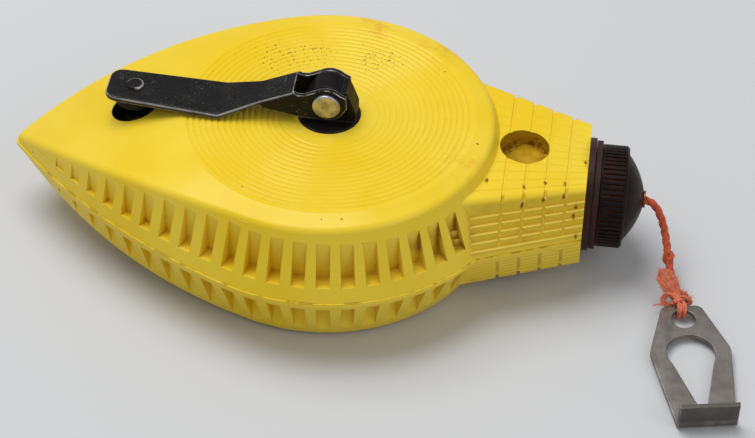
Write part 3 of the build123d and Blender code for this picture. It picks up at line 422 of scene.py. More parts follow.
def fibres(roots, ways, lengths, seed, curl=0.35, steps=7):
    """Loose fibres: root + length (s way + curl s^2 bend), where each bend is random."""
    chance = np.random.default_rng(seed)
    s = np.linspace(0, 1, steps)[None, :, None]
    bend = chance.normal(size=roots.shape)[:, None, :]
    lengths = np.asarray(lengths)[:, None, None]
    paths = roots[:, None, :] + lengths * (s * unit(ways)[:, None, :] + curl * s**2 * bend)
    thickness = sizes().fibre_radius * np.linspace(1, 0.5, steps)[None, :]
    paths[..., 2] = np.maximum(paths[..., 2], 2 * sizes().fibre_radius)
    return tubes(paths, np.broadcast_to(thickness, paths.shape[:2]), (0.37, 0.21, 0.9), sides=4)


class Nodes:
    """Short way to place shader nodes: values are set on sockets and sockets are linked."""

    def __init__(self, tree, place):
        self.tree = tree
        self.place = place

    def put(self, value, socket):
        """Link a socket or node to a socket, or set its value."""
        if isinstance(value, bpy.types.NodeSocket):
            self.tree.links.new(value, socket)
        elif isinstance(value, bpy.types.Node):
            self.tree.links.new(value.outputs[0], socket)
        else:
            socket.default_value = value

    def add(self, kind, inputs=None, **settings):
        """One node with its settings, and its inputs by name or number."""
        node = self.tree.nodes.new("ShaderNode" + kind)
        for key, value in settings.items():
            setattr(node, key, value)
        for key, value in (inputs or {}).items():
            self.put(value, node.inputs[key])
        return node

    def math(self, operation, first, second=0.0, third=0.0):
        """A math node's result."""
        return self.add("Math", {0: first, 1: second, 2: third}, operation=operation).outputs[0]

    def times(self, first, *others):
        """Product of several values."""
        for other in others:
            first = self.math("MULTIPLY", first, other)
        return first

    def most(self, first, *others):
        """Largest of several values."""
        for other in others:
            first = self.math("MAXIMUM", first, other)
        return first

    def plus(self, value, other, share):
        """A value and a share of another."""
        return self.math("MULTIPLY_ADD", other, share, value)

    def off(self, value, middle):
        """How far a value is from a middle one."""
        return self.math("ABSOLUTE", self.math("SUBTRACT", value, middle))

    def cycle(self, value, start, length):
        """Share gone of a length that repeats from a start."""
        return self.math("FRACT", self.math("MULTIPLY_ADD", value, 1 / length, -start / length))

    def step(self, value, low, high, start=0.0, end=1.0):
        """Smooth change from start to end as the value goes from low to high."""
        inputs = {"Value": value, "From Min": low, "From Max": high, "To Min": start, "To Max": end}
        return self.add("MapRange", inputs, interpolation_type="SMOOTHSTEP").outputs["Result"]

    def mix(self, share, first, second):
        """Two colours mixed by a share."""
        node = self.add("Mix", data_type="RGBA")
        for socket, value in ((node.inputs[0], share), (node.inputs[6], first), (node.inputs[7], second)):
            self.put(value, socket)
        return node.outputs[2]

    def noise(self, scale, detail=3.0, rough=0.55):
        """Noise between 0 and 1 at a scale per metre."""
        inputs = {"Vector": self.place, "Scale": scale, "Detail": detail, "Roughness": rough}
        return self.add("TexNoise", inputs).outputs[0]

    def stretched(self, vector, scales, turn, detail):
        """Noise with its own scale along each axis of a vector, after a turn about Z."""
        placed = self.add("Mapping", {"Vector": vector, "Rotation": (0, 0, turn), "Scale": scales})
        return Nodes(self.tree, placed).noise(1.0, detail)

    def apart(self, vector, centre):
        """Distance of a vector from a point, in metres."""
        return self.add("VectorMath", {0: vector, 1: centre}, operation="DISTANCE").outputs["Value"]

    def near(self, centre, inner, outer):
        """1 within the inner distance of a point, falling to 0 at the outer one; all in metres."""
        return self.step(self.apart(self.place, centre), outer, inner)

    def around(self, centres, inner, outer):
        """The same round several points, which are in millimetres."""
        return self.most(*[self.near(Vector(centre) * MM, inner, outer) for centre in centres])

    def split(self, vector):
        """The three parts of a vector."""
        return self.add("SeparateXYZ", {0: vector}).outputs

    def away(self, first, second):
        """Length of a vector with two parts."""
        return self.math("SQRT", self.math("ADD", self.times(first, first), self.times(second, second)))

    def off_axis(self, axis_x=0.0):
        """Distance from an upright axis over the X axis."""
        parts = self.split(self.place)
        return self.away(self.math("SUBTRACT", parts["X"], axis_x), parts["Y"])


class Finish(Nodes):
    """The nodes of a new material with one Principled shader, placed by Object coordinates."""

    def __init__(self, name, settings):
        self.material = bpy.data.materials.new(name)
        self.material.use_nodes = True
        self.material.node_tree.nodes.clear()
        super().__init__(self.material.node_tree, None)
        self.place = self.add("TexCoord").outputs["Object"]
        shader = self.add("BsdfPrincipled", settings)
        self.add("OutputMaterial", {"Surface": shader})
        self.shader = shader.inputs

    def group(self, name, inputs):
        """A shared node group placed here with its own values."""
        node = self.add("Group", node_tree=bpy.data.node_groups[name])
        for key, value in inputs.items():
            self.put(value, node.inputs[key])
        self.put(self.place, node.inputs["Place"])
        return node.outputs

    def surface(self, tone, grain, scratches):
        """The handled surface, with the scales of its tone and grain and the strength of its scratches."""
        return self.group("handled_surface", {"Tone": tone, "Grain": grain, "Scratches": scratches})

    def edges(self, radius, patches):
        """The worn edges, with their radius and the scale of the patches that they are broken into."""
        return self.group("worn_edges", {"Radius": radius, "Patches": patches})

    def dust(self, reach, patches):
        """The settled dust, with how far a corner reaches and the scale of its patches."""
        return self.group("settled_dust", {"Reach": reach, "Patches": patches})

    def done(self, colour, rough, height=0.0, depth=0.0, normal=None, strength=0.5):
        """The material, with its colour, its roughness and the relief of a height on top of any normal."""
        relief = {"Strength": strength, "Distance": depth, "Height": height}
        if normal is not None:
            relief["Normal"] = normal
        self.put(colour, self.shader["Base Color"])
        self.put(rough, self.shader["Roughness"])
        if depth:
            self.put(self.add("Bump", relief), self.shader["Normal"])
        return self.material


def rgba(colour, share=1.0):
    """A colour, made darker by a share, with full alpha."""
    return (colour[0] * share, colour[1] * share, colour[2] * share, 1.0)


def new_group(name, inputs, outputs):
    """A shader node group with a place, value inputs and named outputs: its nodes, inputs and outputs."""
    tree = bpy.data.node_groups.new(name, "ShaderNodeTree")
    tree.interface.new_socket("Place", in_out="INPUT", socket_type="NodeSocketVector")
    for label, value in inputs.items():
        socket = tree.interface.new_socket(label, in_out="INPUT", socket_type="NodeSocketFloat")
        socket.default_value = value
    for label, kind in outputs.items():
        tree.interface.new_socket(label, in_out="OUTPUT", socket_type=kind)
    source = tree.nodes.new("NodeGroupInput")
    sink = tree.nodes.new("NodeGroupOutput")
    return Nodes(tree, source.outputs["Place"]), source.outputs, sink.inputs


def make_groups():
    """The effects that several finishes share: dust in crevices, worn edges and a scratched surface."""
    nodes, given, out = new_group(
        "settled_dust",
        {"Reach": 0.003, "Patches": 300.0},
        {"Mask": "NodeSocketFloat", "Hollow": "NodeSocketFloat"},
    )
    open_sky = nodes.add("AmbientOcclusion", {"Distance": given["Reach"]}, samples=8, only_local=True)
    hidden = nodes.step(open_sky.outputs["AO"], 0.75, 0.25)
    patches = nodes.step(nodes.noise(given["Patches"], 4.0), 0.38, 0.62)
    nodes.put(nodes.times(hidden, patches), out["Mask"])
    nodes.put(nodes.step(open_sky.outputs["AO"], 0.97, 0.60), out["Hollow"])

    nodes, given, out = new_group(
        "worn_edges",
        {"Radius": 0.0004, "Patches": 250.0},
        {"Mask": "NodeSocketFloat", "Normal": "NodeSocketVector"},
    )
    rounded = nodes.add("Bevel", {"Radius": given["Radius"]}, samples=8).outputs[0]
    flat = nodes.add("NewGeometry").outputs["True Normal"]
    agree = nodes.add("VectorMath", {0: rounded, 1: flat}, operation="DOT_PRODUCT").outputs["Value"]
    edge = nodes.step(agree, 0.985, 0.86)
    patches = nodes.step(nodes.noise(given["Patches"], 4.0), 0.30, 0.60)
    nodes.put(nodes.times(edge, patches), out["Mask"])
    nodes.put(rounded, out["Normal"])

    nodes, given, out = new_group(
        "handled_surface",
        {"Tone": 40.0, "Grain": 1800.0, "Scratches": 1.0},
        {"Tone": "NodeSocketFloat", "Grain": "NodeSocketFloat", "Scratches": "NodeSocketFloat"},
    )
    nodes.put(nodes.noise(given["Tone"], 4.0), out["Tone"])
    nodes.put(nodes.noise(given["Grain"], 3.0), out["Grain"])
    one_way = nodes.stretched(nodes.place, (60, 2600, 900), 0.5, 2.0)
    other_way = nodes.stretched(nodes.place, (2300, 70, 900), 0.25, 2.0)
    lines = nodes.most(nodes.step(one_way, 0.68, 0.74), nodes.step(other_way, 0.70, 0.75))
    nodes.put(nodes.times(lines, given["Scratches"]), out["Scratches"])


def neck_shades(nodes, patchy):
    """Masks on the neck: painted shade on its steps' risers, painted shadow lines under its parting line, and
    a painted highlight on its upward-facing treads.
    """
    x, y, z = nodes.split(nodes.place)
    facing_up = nodes.split(nodes.add("NewGeometry").outputs["True Normal"])["Z"]
    on_neck = nodes.step(x, *NECK_START)
    on_flank = nodes.times(on_neck, nodes.step(z, *FLANK_FOOT), nodes.step(z, *FLANK_HEAD))
    risers = nodes.times(on_flank, nodes.step(facing_up, 0.55, 0.25))
    up_step = nodes.cycle(z, STEP_EDGE_Z, STEP_RISE)
    below = nodes.times(on_neck, nodes.step(z, *UNDER_SEAM), nodes.step(up_step, 0.12, 0.4))
    shaded = nodes.times(nodes.most(risers, below), nodes.step(patchy, 0.0, 1.0, 0.16, 0.32))
    on_side = nodes.times(on_flank, nodes.step(nodes.off(y, 0.0), *FLANK_SIDE))
    treads = nodes.times(on_side, nodes.step(z, *TREAD_HEAD), nodes.step(facing_up, 0.50, 0.75))
    return shaded, treads


def ring_specks(nodes):
    """Mask of the dark specks in the grooves of the deck's rings, thick in a few clusters."""
    z = nodes.split(nodes.place)["Z"]
    from_axis = nodes.off_axis()
    on_deck = nodes.times(nodes.step(from_axis, *RINGS_END), nodes.step(z, *DECK_FROM))
    across = nodes.cycle(from_axis, RING_FIRST - RING_PITCH / 2, RING_PITCH)
    in_groove = nodes.step(nodes.off(across, 0.5), 0.30, 0.16)
    clusters = nodes.around(RING_SPECKS, 0.003, 0.013)
    dashes = nodes.plus(nodes.noise(1350, 2.0, 0.6), clusters, 0.17)
    return nodes.times(on_deck, in_groove, nodes.step(dashes, 0.745, 0.785))


def neck_spots(nodes):
    """Mask of the spots on the neck, each with a ragged edge."""
    ragged = nodes.times(nodes.noise(1100, 3.0, 0.6), 0.0020)
    stretched = nodes.add("VectorMath", {0: nodes.place, 1: SPOT_STRETCH}, operation="MULTIPLY").outputs[0]
    spots = []
    for centre in NECK_SPOTS:
        apart = nodes.apart(stretched, np.array(centre) * MM * SPOT_STRETCH)
        spots.append(nodes.step(nodes.math("ADD", apart, ragged), 0.0023, 0.0014))
    return nodes.most(*spots)


def recess_marks(nodes):
    """Masks of the round recess in the neck and of the chalk along the foot of its wall."""
    z = nodes.split(nodes.place)["Z"]
    within = nodes.step(nodes.off_axis(RECESS_X), *RECESS_WALL)
    in_recess = nodes.times(within, nodes.step(z, *RECESS_HEAD), nodes.step(z, *RECESS_FOOT))
    broken = nodes.step(nodes.noise(700, 3.0, 0.6), 0.38, 0.60)
    return in_recess, nodes.times(in_recess, nodes.around(RECESS_CHALK, 0.0006, 0.0022), broken)


def case_plastic():
    """Satin yellow plastic, faded by handling, with chalk in its rings, pockets and the neck's recess, dirt
    and painted shade in that recess, painted shade on the neck's risers and in the recess under the knob, and
    painted highlights on the neck's treads.
    """
    tint = colours()
    gloss = {"Specular IOR Level": 0.20, "Specular Tint": (1.0, 0.90, 0.45, 1.0)}
    coat = {"Coat Weight": 0.22, "Coat Roughness": 0.15}
    nodes = Finish("case_plastic", gloss | coat)
    z = nodes.split(nodes.place)["Z"]
    surface = nodes.surface(22.0, 2600.0, 1.0)
    edges = nodes.edges(0.00012, 160.0)
    dust = nodes.dust(0.003, 420.0)
    colour = nodes.mix(nodes.step(surface["Tone"], 0.3, 0.7), rgba(tint.case), rgba(tint.case_worn))

    patchy = nodes.step(nodes.noise(240, 5.0, 0.65), 0.42, 0.72)
    stained = nodes.times(nodes.around(RIM_STAINS, 0.001, 0.011), patchy, 0.6)
    colour = nodes.mix(stained, colour, rgba(tint.stain_and_shade))
    colour = nodes.mix(nodes.times(dust["Mask"], 0.35), colour, rgba(tint.stain_and_shade, 0.85))
    streaks = nodes.step(nodes.noise(380, 4.0, 0.6), 0.25, 0.6, 0.5, 0.85)
    soiled = nodes.times(nodes.around(POCKET_STAINS, 0.0025, 0.0065), dust["Hollow"], streaks)
    colour = nodes.mix(soiled, colour, rgba(tint.grubby_and_shade))
    # Painted shade on the neck's step risers and painted shadow lines under its parting line, in a dark
    # orange-brown; painted highlight on the treads that face up
    shaded, treads = neck_shades(nodes, patchy)
    colour = nodes.mix(shaded, colour, rgba(tint.stain_and_shade, 0.55))
    colour = nodes.mix(nodes.times(treads, 0.6), colour, rgba(tint.scuffed_and_highlight))
    by_hub = nodes.step(nodes.off_axis(), *HUB_SCUFFS)
    scuffs = nodes.step(nodes.noise(170, 4.0), 0.45, 0.7)
    colour = nodes.mix(nodes.times(by_hub, scuffs, 0.5), colour, rgba(tint.scuffed_and_highlight))

    in_recess, smears = recess_marks(nodes)
    # The neck's recess darkened towards dull brown: dirt, and painted shade for the light its walls keep out
    dirt_and_shade = nodes.step(nodes.noise(260, 4.0, 0.6), 0.25, 0.75, 0.46, 0.76)
    colour = nodes.mix(nodes.times(in_recess, dirt_and_shade), colour, rgba(tint.grubby_and_shade))
    spots = neck_spots(nodes)
    colour = nodes.mix(nodes.times(spots, 0.9), colour, rgba(tint.rust))
    seam = nodes.step(nodes.off(z, NECK_AXIS_Z), *SEAM_HALF)
    grime = nodes.times(seam, nodes.step(nodes.noise(210, 4.0, 0.6), 0.47, 0.62), 0.5)
    odd = nodes.step(nodes.noise(330, 2.0, 0.5), 0.765, 0.785)
    chalk = nodes.most(ring_specks(nodes), odd, smears, grime)
    colour = nodes.mix(nodes.times(chalk, 0.85), colour, rgba(tint.chalk))
    # Painted shade: the walls of the recess under the knob are painted the hub's black, broken only a little,
    # for the shade under the crank's knob
    under_knob = nodes.step(nodes.off_axis(KNOB_RECESS_X), *KNOB_RECESS_WALL)
    rubbed = nodes.step(nodes.noise(300, 4.0), 0.25, 0.55, 0.90, 1.0)
    knob_recess_shade = nodes.times(under_knob, nodes.step(z, *KNOB_RECESS_FOOT), rubbed)
    colour = nodes.mix(knob_recess_shade, colour, rgba(tint.hub))

    rough = nodes.step(surface["Grain"], 0.2, 0.8, 0.34, 0.46)
    rough = nodes.plus(rough, nodes.most(chalk, spots, dust["Mask"]), 0.3)
    rough = nodes.plus(rough, surface["Scratches"], 0.12)
    height = nodes.plus(nodes.times(surface["Grain"], 0.4), surface["Scratches"], -0.5)
    return nodes.done(colour, rough, height, 0.00005, edges["Normal"])


def sheet_edge(nodes, normal, tone):
    """Worn band of bare steel on the rounded upper edge of the crank's sheet, fading down its side, as far as
    the ears; as it follows how far the edge faces up, it is also a painted highlight.
    """
    x = nodes.split(nodes.place)["X"]
    facing_up = nodes.split(normal)["Z"]
    band = nodes.times(nodes.step(facing_up, 0.88, 0.76), nodes.step(facing_up, 0.40, 0.68, 0.08, 1.0))
    on_ears = nodes.times(nodes.step(x, *EAR_WEAR_END), band)
    on_arm = nodes.most(nodes.step(x, *ARM_WEAR_END), on_ears)
    worn = nodes.step(tone, 0.30, 0.56, 0.20, 0.80)
    return nodes.times(band, on_arm, nodes.step(facing_up, -0.15, 0.0), worn)


def rivet_ring(nodes, normal, tone):
    """Rubbed ring round the rivet's head, broken where its paint is left."""
    return nodes.times(nodes.step(nodes.off_axis(RIVET_X), *RIVET_RING), nodes.step(tone, 0.35, 0.6))


def painted_steel(name, colour, rough, edge_width, rubbed):
    """Black paint on steel: hazy with dust, scratched, worn bright at its edges and where it is rubbed, which
    on the crank's upper edge is also a painted highlight.
    """
    tint = colours()
    nodes = Finish(name, {"Specular IOR Level": 0.12})
    surface = nodes.surface(160.0, 1500.0, 1.0)
    edges = nodes.edges(edge_width, 420.0)
    haze = nodes.step(surface["Tone"], 0.45, 0.80, 0.0, 0.24)
    dull = nodes.mix(haze, rgba(colour), rgba(tint.haze))
    chips = nodes.step(nodes.noise(1900, 3.0, 0.65), 0.60, 0.70)
    chipped = nodes.times(chips, nodes.step(nodes.noise(130, 2.0), 0.40, 0.62, 0.05, 0.28))
    scratched = nodes.times(surface["Scratches"], nodes.step(surface["Tone"], 0.55, 0.7))
    worn = rubbed(nodes, edges["Normal"], surface["Tone"])
    bare = nodes.most(edges["Mask"], scratched, chipped, worn)
    nodes.put(bare, nodes.shader["Metallic"])
    colour = nodes.mix(bare, dull, rgba(tint.bare_steel))
    gloss = nodes.plus(nodes.step(surface["Grain"], 0.25, 0.8, rough - 0.08, rough + 0.12), haze, 0.3)
    return nodes.done(colour, gloss, surface["Grain"], 0.00006, edges["Normal"])


def black_plastic():
    """Black moulded plastic of the hub and knob, greyed at its edges, with brown dust in its corners."""
    tint = colours()
    nodes = Finish("black_plastic", {"Specular IOR Level": 0.08})
    surface = nodes.surface(110.0, 1700.0, 0.6)
    edges = nodes.edges(0.0006, 300.0)
    dust = nodes.dust(0.004, 350.0)
    colour = nodes.mix(nodes.step(surface["Tone"], 0.35, 0.75), rgba(tint.hub), rgba(tint.hub_dull))
    colour = nodes.mix(nodes.times(edges["Mask"], 0.6), colour, rgba(tint.hub_edge))
    colour = nodes.mix(nodes.times(dust["Mask"], 0.5), colour, rgba(tint.dust, 0.45))
    rough = nodes.step(surface["Grain"], 0.2, 0.8, 0.34, 0.50)
    return nodes.done(colour, rough, surface["Grain"], 0.00005, edges["Normal"])


def mottled_metal(name, light, dark, rough, scale):
    """Bare metal with dull blotches, pits and rounded edges."""
    nodes = Finish(name, {"Metallic": 1.0})
    surface = nodes.surface(scale, 2400.0, 1.0)
    edges = nodes.edges(0.0003, 300.0)
    blotches = nodes.step(surface["Tone"], 0.40, 0.62)
    colour = nodes.mix(blotches, rgba(dark), rgba(light))
    colour = nodes.mix(nodes.times(edges["Mask"], 0.5), colour, rgba(light, 1.25))
    dull = nodes.plus(nodes.step(blotches, 0.0, 1.0, rough + 0.16, rough), surface["Scratches"], 0.1)
    return nodes.done(colour, dull, surface["Grain"], 0.00006, edges["Normal"])


def hook_steel():
    """Worn stamped steel: a fine grain, brown blotches, red chalk by the tying hole, bright edges, and
    painted shade darkening the tab above its foot.
    """
    tint = colours()
    nodes = Finish("hook_steel", {})
    surface = nodes.surface(130.0, 2200.0, 1.0)
    edges = nodes.edges(0.0004, 350.0)
    drawn = nodes.stretched(nodes.place, (2600, 130, 1300), HOOK_GRAIN_TURN, 3.0)
    tone = nodes.step(surface["Tone"], 0.35, 0.68)
    colour = nodes.mix(tone, rgba(tint.hook, 0.66), rgba(tint.hook, 1.12))
    colour = nodes.mix(nodes.step(drawn, 0.35, 0.75, 0.0, 0.35), colour, rgba(tint.hook, 0.7))
    # Painted shade: the tab is darkened for the light that falls on it
    shaded_tab = nodes.step(nodes.split(nodes.place)["Z"], *TAB_FOOT)
    colour = nodes.mix(nodes.times(shaded_tab, 0.75), colour, rgba(tint.hook, 0.42))
    colour = nodes.mix(nodes.times(edges["Mask"], 0.6), colour, rgba(tint.bare_steel))
    tied = nodes.near(LOOP_AT + 3.5 * MM * HOOK_ACROSS, 0.002, 0.010)
    chalk = nodes.times(tied, nodes.step(nodes.noise(420, 4.0, 0.65), 0.40, 0.66), 0.7)
    colour = nodes.mix(chalk, colour, rgba(tint.dust, 1.3))
    nodes.put(nodes.step(chalk, 0.0, 0.7, 1.0, 0.2), nodes.shader["Metallic"])
    dull = nodes.plus(nodes.step(tone, 0.0, 1.0, 0.56, 0.40), chalk, 0.3)
    height = nodes.plus(nodes.times(drawn, 0.5), surface["Grain"], 0.5)
    return nodes.done(colour, dull, height, 0.00005, edges["Normal"])


def cap_plastic():
    """Near-black plastic: red dust between the ribs, thin smears of chalk over the dome, rubbed edges."""
    tint = colours()
    nodes = Finish("cap_plastic", {"Specular IOR Level": 0.08})
    x, y, z = nodes.split(nodes.place)
    surface = nodes.surface(120.0, 1600.0, 0.8)
    edges = nodes.edges(0.0003, 300.0)
    from_axis = nodes.away(y, nodes.math("SUBTRACT", z, NECK_AXIS_Z))
    between = nodes.times(nodes.step(from_axis, *RIB_ROOTS), nodes.step(x, *RIB_ENDS))
    packed = nodes.times(between, nodes.step(nodes.noise(260, 4.0), 0.34, 0.60), 0.5)
    on_dome = nodes.step(x, *DOME_START)
    smears = nodes.times(on_dome, nodes.step(nodes.noise(190, 5.0, 0.62), 0.52, 0.74), 0.5)
    by_nose = nodes.times(nodes.step(from_axis, *NOSE_CHALK), on_dome, 0.6)
    film = nodes.times(nodes.step(surface["Tone"], 0.40, 0.72), 0.16)
    chalk = nodes.most(packed, smears, by_nose, film)
    colour = nodes.mix(nodes.times(edges["Mask"], 0.35), rgba(tint.cap), rgba(tint.cap_edge))
    colour = nodes.mix(chalk, colour, rgba(tint.dust))
    gloss = nodes.plus(nodes.step(surface["Grain"], 0.2, 0.8, 0.30, 0.44), chalk, 0.45)
    return nodes.done(colour, gloss, surface["Grain"], 0.00005, edges["Normal"])


def dusty_plastic(name, colour, dust_share, rough=0.5):
    """Dull plastic, felt or rubber under a film of red dust, thicker in its corners."""
    nodes = Finish(name, {"Specular IOR Level": 0.18})
    surface = nodes.surface(160.0, 1300.0, 0.5)
    edges = nodes.edges(0.0003, 300.0)
    dust = nodes.dust(0.003, 380.0)
    film = nodes.step(surface["Tone"], 0.35, 0.72, 0.0, dust_share)
    powder = nodes.most(film, nodes.times(dust["Mask"], 0.6))
    tone = nodes.mix(nodes.step(surface["Grain"], 0.3, 0.7), rgba(colour, 0.75), rgba(colour, 1.1))
    tone = nodes.mix(powder, tone, rgba(colours().dust))
    dull = nodes.step(surface["Grain"], 0.2, 0.8, rough - 0.08, rough + 0.14)
    return nodes.done(tone, dull, surface["Grain"], 0.00012, edges["Normal"], 0.6)


def cotton(name, colour, pale):
    """Chalked cotton: fibres along each strand by its UV, and paler and darker yarns."""
    sheen = {"Sheen Weight": 0.2, "Sheen Roughness": 0.5}
    nodes = Finish(name, sheen)
    along = nodes.add("UVMap", uv_map="fibre").outputs[0]
    fibre = nodes.stretched(along, (900, 9, 1), 0.9, 4.0)
    tone = nodes.step(nodes.noise(700, 3.0), 0.3, 0.7)
    body = nodes.mix(tone, rgba(colour, 0.68), rgba(colour))
    body = nodes.mix(nodes.step(fibre, 0.45, 0.75, 0.0, 0.6), body, rgba(pale))
    height = nodes.plus(fibre, nodes.noise(3800, 2.0), 0.5)
    return nodes.done(body, COTTON_ROUGH, height, 0.00012, strength=0.9)


def wound_cotton():
    """Turns of chalked line side by side on the drum: |sin| of the height and half the angle round it."""
    tint = colours()
    diameter = sizes().line_diameter
    nodes = Finish("wound_cotton", {})
    x, y, z = nodes.split(nodes.place)
    gone_round = nodes.times(nodes.math("ARCTAN2", y, x), 0.5)
    phase = nodes.plus(gone_round, z, np.pi / diameter)
    crown = nodes.math("ABSOLUTE", nodes.math("SINE", phase))
    twist = nodes.noise(900, 4.0, 0.6)
    tone = nodes.mix(nodes.step(twist, 0.3, 0.7), rgba(tint.line, 0.7), rgba(tint.fray))
    tone = nodes.mix(nodes.step(crown, 0.1, 0.6), rgba(tint.dust), tone)
    height = nodes.plus(crown, twist, 0.25)
    return nodes.done(tone, COTTON_ROUGH, height, diameter / 2, strength=0.9)


def floor_finish():
    """Plain pale floor with the faintest change of tone."""
    tint = colours()
    nodes = Finish("pale_floor", {})
    tone = nodes.noise(900, 2.0)
    colour = nodes.mix(tone, rgba(tint.floor, 0.985), rgba(tint.floor))
    return nodes.done(colour, nodes.step(tone, 0.2, 0.8, 0.62, 0.70))


def paint_nodes(material, *names):
    """Give CAD nodes their finish."""
    for name in names:
        mesh = frame["nodes"][name].data
        mesh.materials.clear()
        mesh.materials.append(material)


def line_piece(name, shape, material, node):
    """A piece of the line that rides with the lead and stands for one of its solids."""
    piece = make_piece(name, *shape)
    piece.data.materials.append(material)
    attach(piece, "lead")
    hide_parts(node)
    return piece


def lead_shape(points):
    """The twisted line, with a thin fuzz of fibres standing off it."""
    size = sizes()
    chance = np.random.default_rng(3)
    radius = size.line_diameter / 2
    body = rope(points, (0.6, 0.6, 0.53), radius, size.line_lay, size.line_strands)
    count = size.lead_fibres
    rows = chance.integers(4, len(points) - 6, count)
    ways = chance.normal(size=(count, 3))
    roots = points[rows] + 0.8 * radius * unit(ways)
    return join(body, fibres(roots, ways, chance.uniform(0.4, 1.1, count) * MM, 4))


def stopper_shape(points):
    """The overhand knot: a tight trefoil of line pulled long about the lead."""
    size = sizes()
    distance = distances(points)
    row = np.searchsorted(distance, size.stopper_share * distance[-1])
    way = points[row + 2] - points[row - 2]
    path, outward = trefoil(points[row], way, size.stopper_size, 1.05)
    return rope(path, outward, 0.3 * size.line_diameter, size.line_lay, size.line_strands, closed=True)


def knot_shape():
    """Two loops through the hook's hole, the line's way into the turns behind them, a free end, fibres."""
    size = sizes()
    chance = np.random.default_rng(8)
    right = -HOOK_ACROSS
    up = np.cross(TAIL_FACES, right)
    turn_axes = np.stack([right, up, TAIL_FACES]) * MM
    parts = []
    t = np.linspace(0, 2 * np.pi, 60, endpoint=False)[:, None]
    for share in (-0.9, 0.9):
        middle = LOOP_AT + share * size.loop_strand * HOOK_ACROSS
        ring = middle + size.loop_radius * (np.cos(t) * HOOK_ALONG + np.sin(t) * UP)
        out = ring - middle
        parts.append(rope(ring, out, size.loop_strand, size.line_lay, size.line_strands, closed=True))
    lead_end = np.array(LEAD_ROUTE[-2:]) * MM
    way_in = [lead_end.mean(axis=0), lead_end[1], KNOT_MIDDLE + np.array(WAY_IN_END) @ turn_axes]
    path = route_points("way_in", way_in, 12)
    parts.append(rope(path, TAIL_FACES, 0.46 * size.line_diameter, size.line_lay, size.line_strands))
    for number, turns in enumerate(KNOT_TURNS):
        path = route_points(f"turn_{number}", KNOT_MIDDLE + np.array(turns) @ turn_axes, 12)
        parts.append(rope(path, TAIL_FACES, size.knot_strand, 1.4 * size.line_lay, size.line_strands))
    free = route_points("free_end", KNOT_MIDDLE + np.array(LOOSE_END) @ turn_axes, 12)
    parts.append(tubes(free[None], 0.5 * MM * np.linspace(1, 0.35, len(free))[None, :], TAIL_FACES))
    ways = chance.normal(size=(size.knot_fibres, 3)) * (1.5, 1.0, 0.8) + (0, 0.6, 0.1)
    roots = KNOT_MIDDLE + (np.array((-0.3, 1.6, -0.5)) + unit(ways) * (3.4, 2.2, 1.2)) @ turn_axes
    ways = ways @ turn_axes
    ends = np.stack([roots, roots + 1.7 * MM * unit(ways)])
    behind = np.max((ends - LOOP_AT) @ HOOK_ALONG, axis=0) < -1.5 * MM
    parts.append(fibres(roots[behind], ways[behind], chance.uniform(0.6, 1.7, behind.sum()) * MM, 9, 0.45))
    return join(*parts)


def tail_shape():
    """Felted end of the line: layers of wavy yarns in a flat band that widens and rounds off, and fibres."""
    size = sizes()
    chance = np.random.default_rng(5)
    run = TAIL_TIP - TAIL_ROOT
    side = unit(np.cross(run, TAIL_FACES))
    face = unit(np.cross(side, run))
    layers = np.repeat(np.array((-0.42, 0.0, 0.42)), size.tail_yarns)[:, None]
    place = np.tile(np.linspace(-1, 1, size.tail_yarns), 3)[:, None]
    count = len(place)
    reach = 1.06 - 0.24 * place**2 - chance.uniform(0, 0.09, (count, 1))
    rows = 36
    s = np.linspace(0, 1, rows)[None, :] * reach
    half = 0.45 + 0.55 * np.sin(np.pi / 2 * np.minimum(1, s / 0.6)) - 0.12 * s**4
    wave = 0.10 * np.sin(8 * s + chance.uniform(0, 6, (count, 1)))
    across = size.tail_width * half * place + MM * wave
    out = MM * (layers * (1 - 0.5 * place**2) + 0.5 * np.sin(np.pi * s) + 0.10 * np.sin(9 * s + 5 * place))
    paths = TAIL_ROOT + s[..., None] * run + across[..., None] * side + out[..., None] * face
    yarns = tubes(paths, 0.27 * MM * np.linspace(1, 0.55, rows)[None, :], face, sides=7)
    picks = chance.integers(0, count, size.tail_fibres)
    roots = paths[picks, chance.integers(8, rows, size.tail_fibres)]
    ways = unit(run) + 0.35 * chance.normal(size=(size.tail_fibres, 3)) + 0.9 * place[picks] ** 3 * side
    split = fibres(roots, ways, chance.uniform(0.7, 1.7, size.tail_fibres) * MM, 6, 0.25)
    return join(yarns, split)


class REEL_OT_groups(bpy.types.Operator):
    """Shared effects: settled dust, worn edges and handled surface"""

    bl_idname = "reel.groups"
    bl_label = "Shared effects"

    def execute(self, context):
        make_groups()
        return {"FINISHED"}


class REEL_OT_line(bpy.types.Operator):
    """Free line, its stopper knot, the knot at the hook and the frayed tail"""

    bl_idname = "reel.line"
    bl_label = "Line and knots"

    def execute(self, context):
        tint = colours()
        route = np.array(LEAD_ROUTE) * MM
        points = route_points("lead_route", route)
        chalked = cotton("chalked_line", tint.line, tint.fray)
        frayed = cotton("frayed_line", tint.fray, tint.loose)
        lead = line_piece("lead_rope", lead_shape(points), chalked, "line_lead")
        turns = stopper_shape(points)
        stopper = line_piece("stopper_knot_rope", turns, chalked, "stopper_knot")
        knot = line_piece("hook_knot_rope", knot_shape(), frayed, "hook_knot")
        tail = line_piece("tail_yarns", tail_shape(), frayed, "line_tail")
        return {"FINISHED"}


class REEL_OT_case(bpy.types.Operator):
    """Finish of the two case halves"""

    bl_idname = "reel.case"
    bl_label = "Case"

    def execute(self, context):
        paint_nodes(case_plastic(), "upper_case", "lower_case")
        return {"FINISHED"}


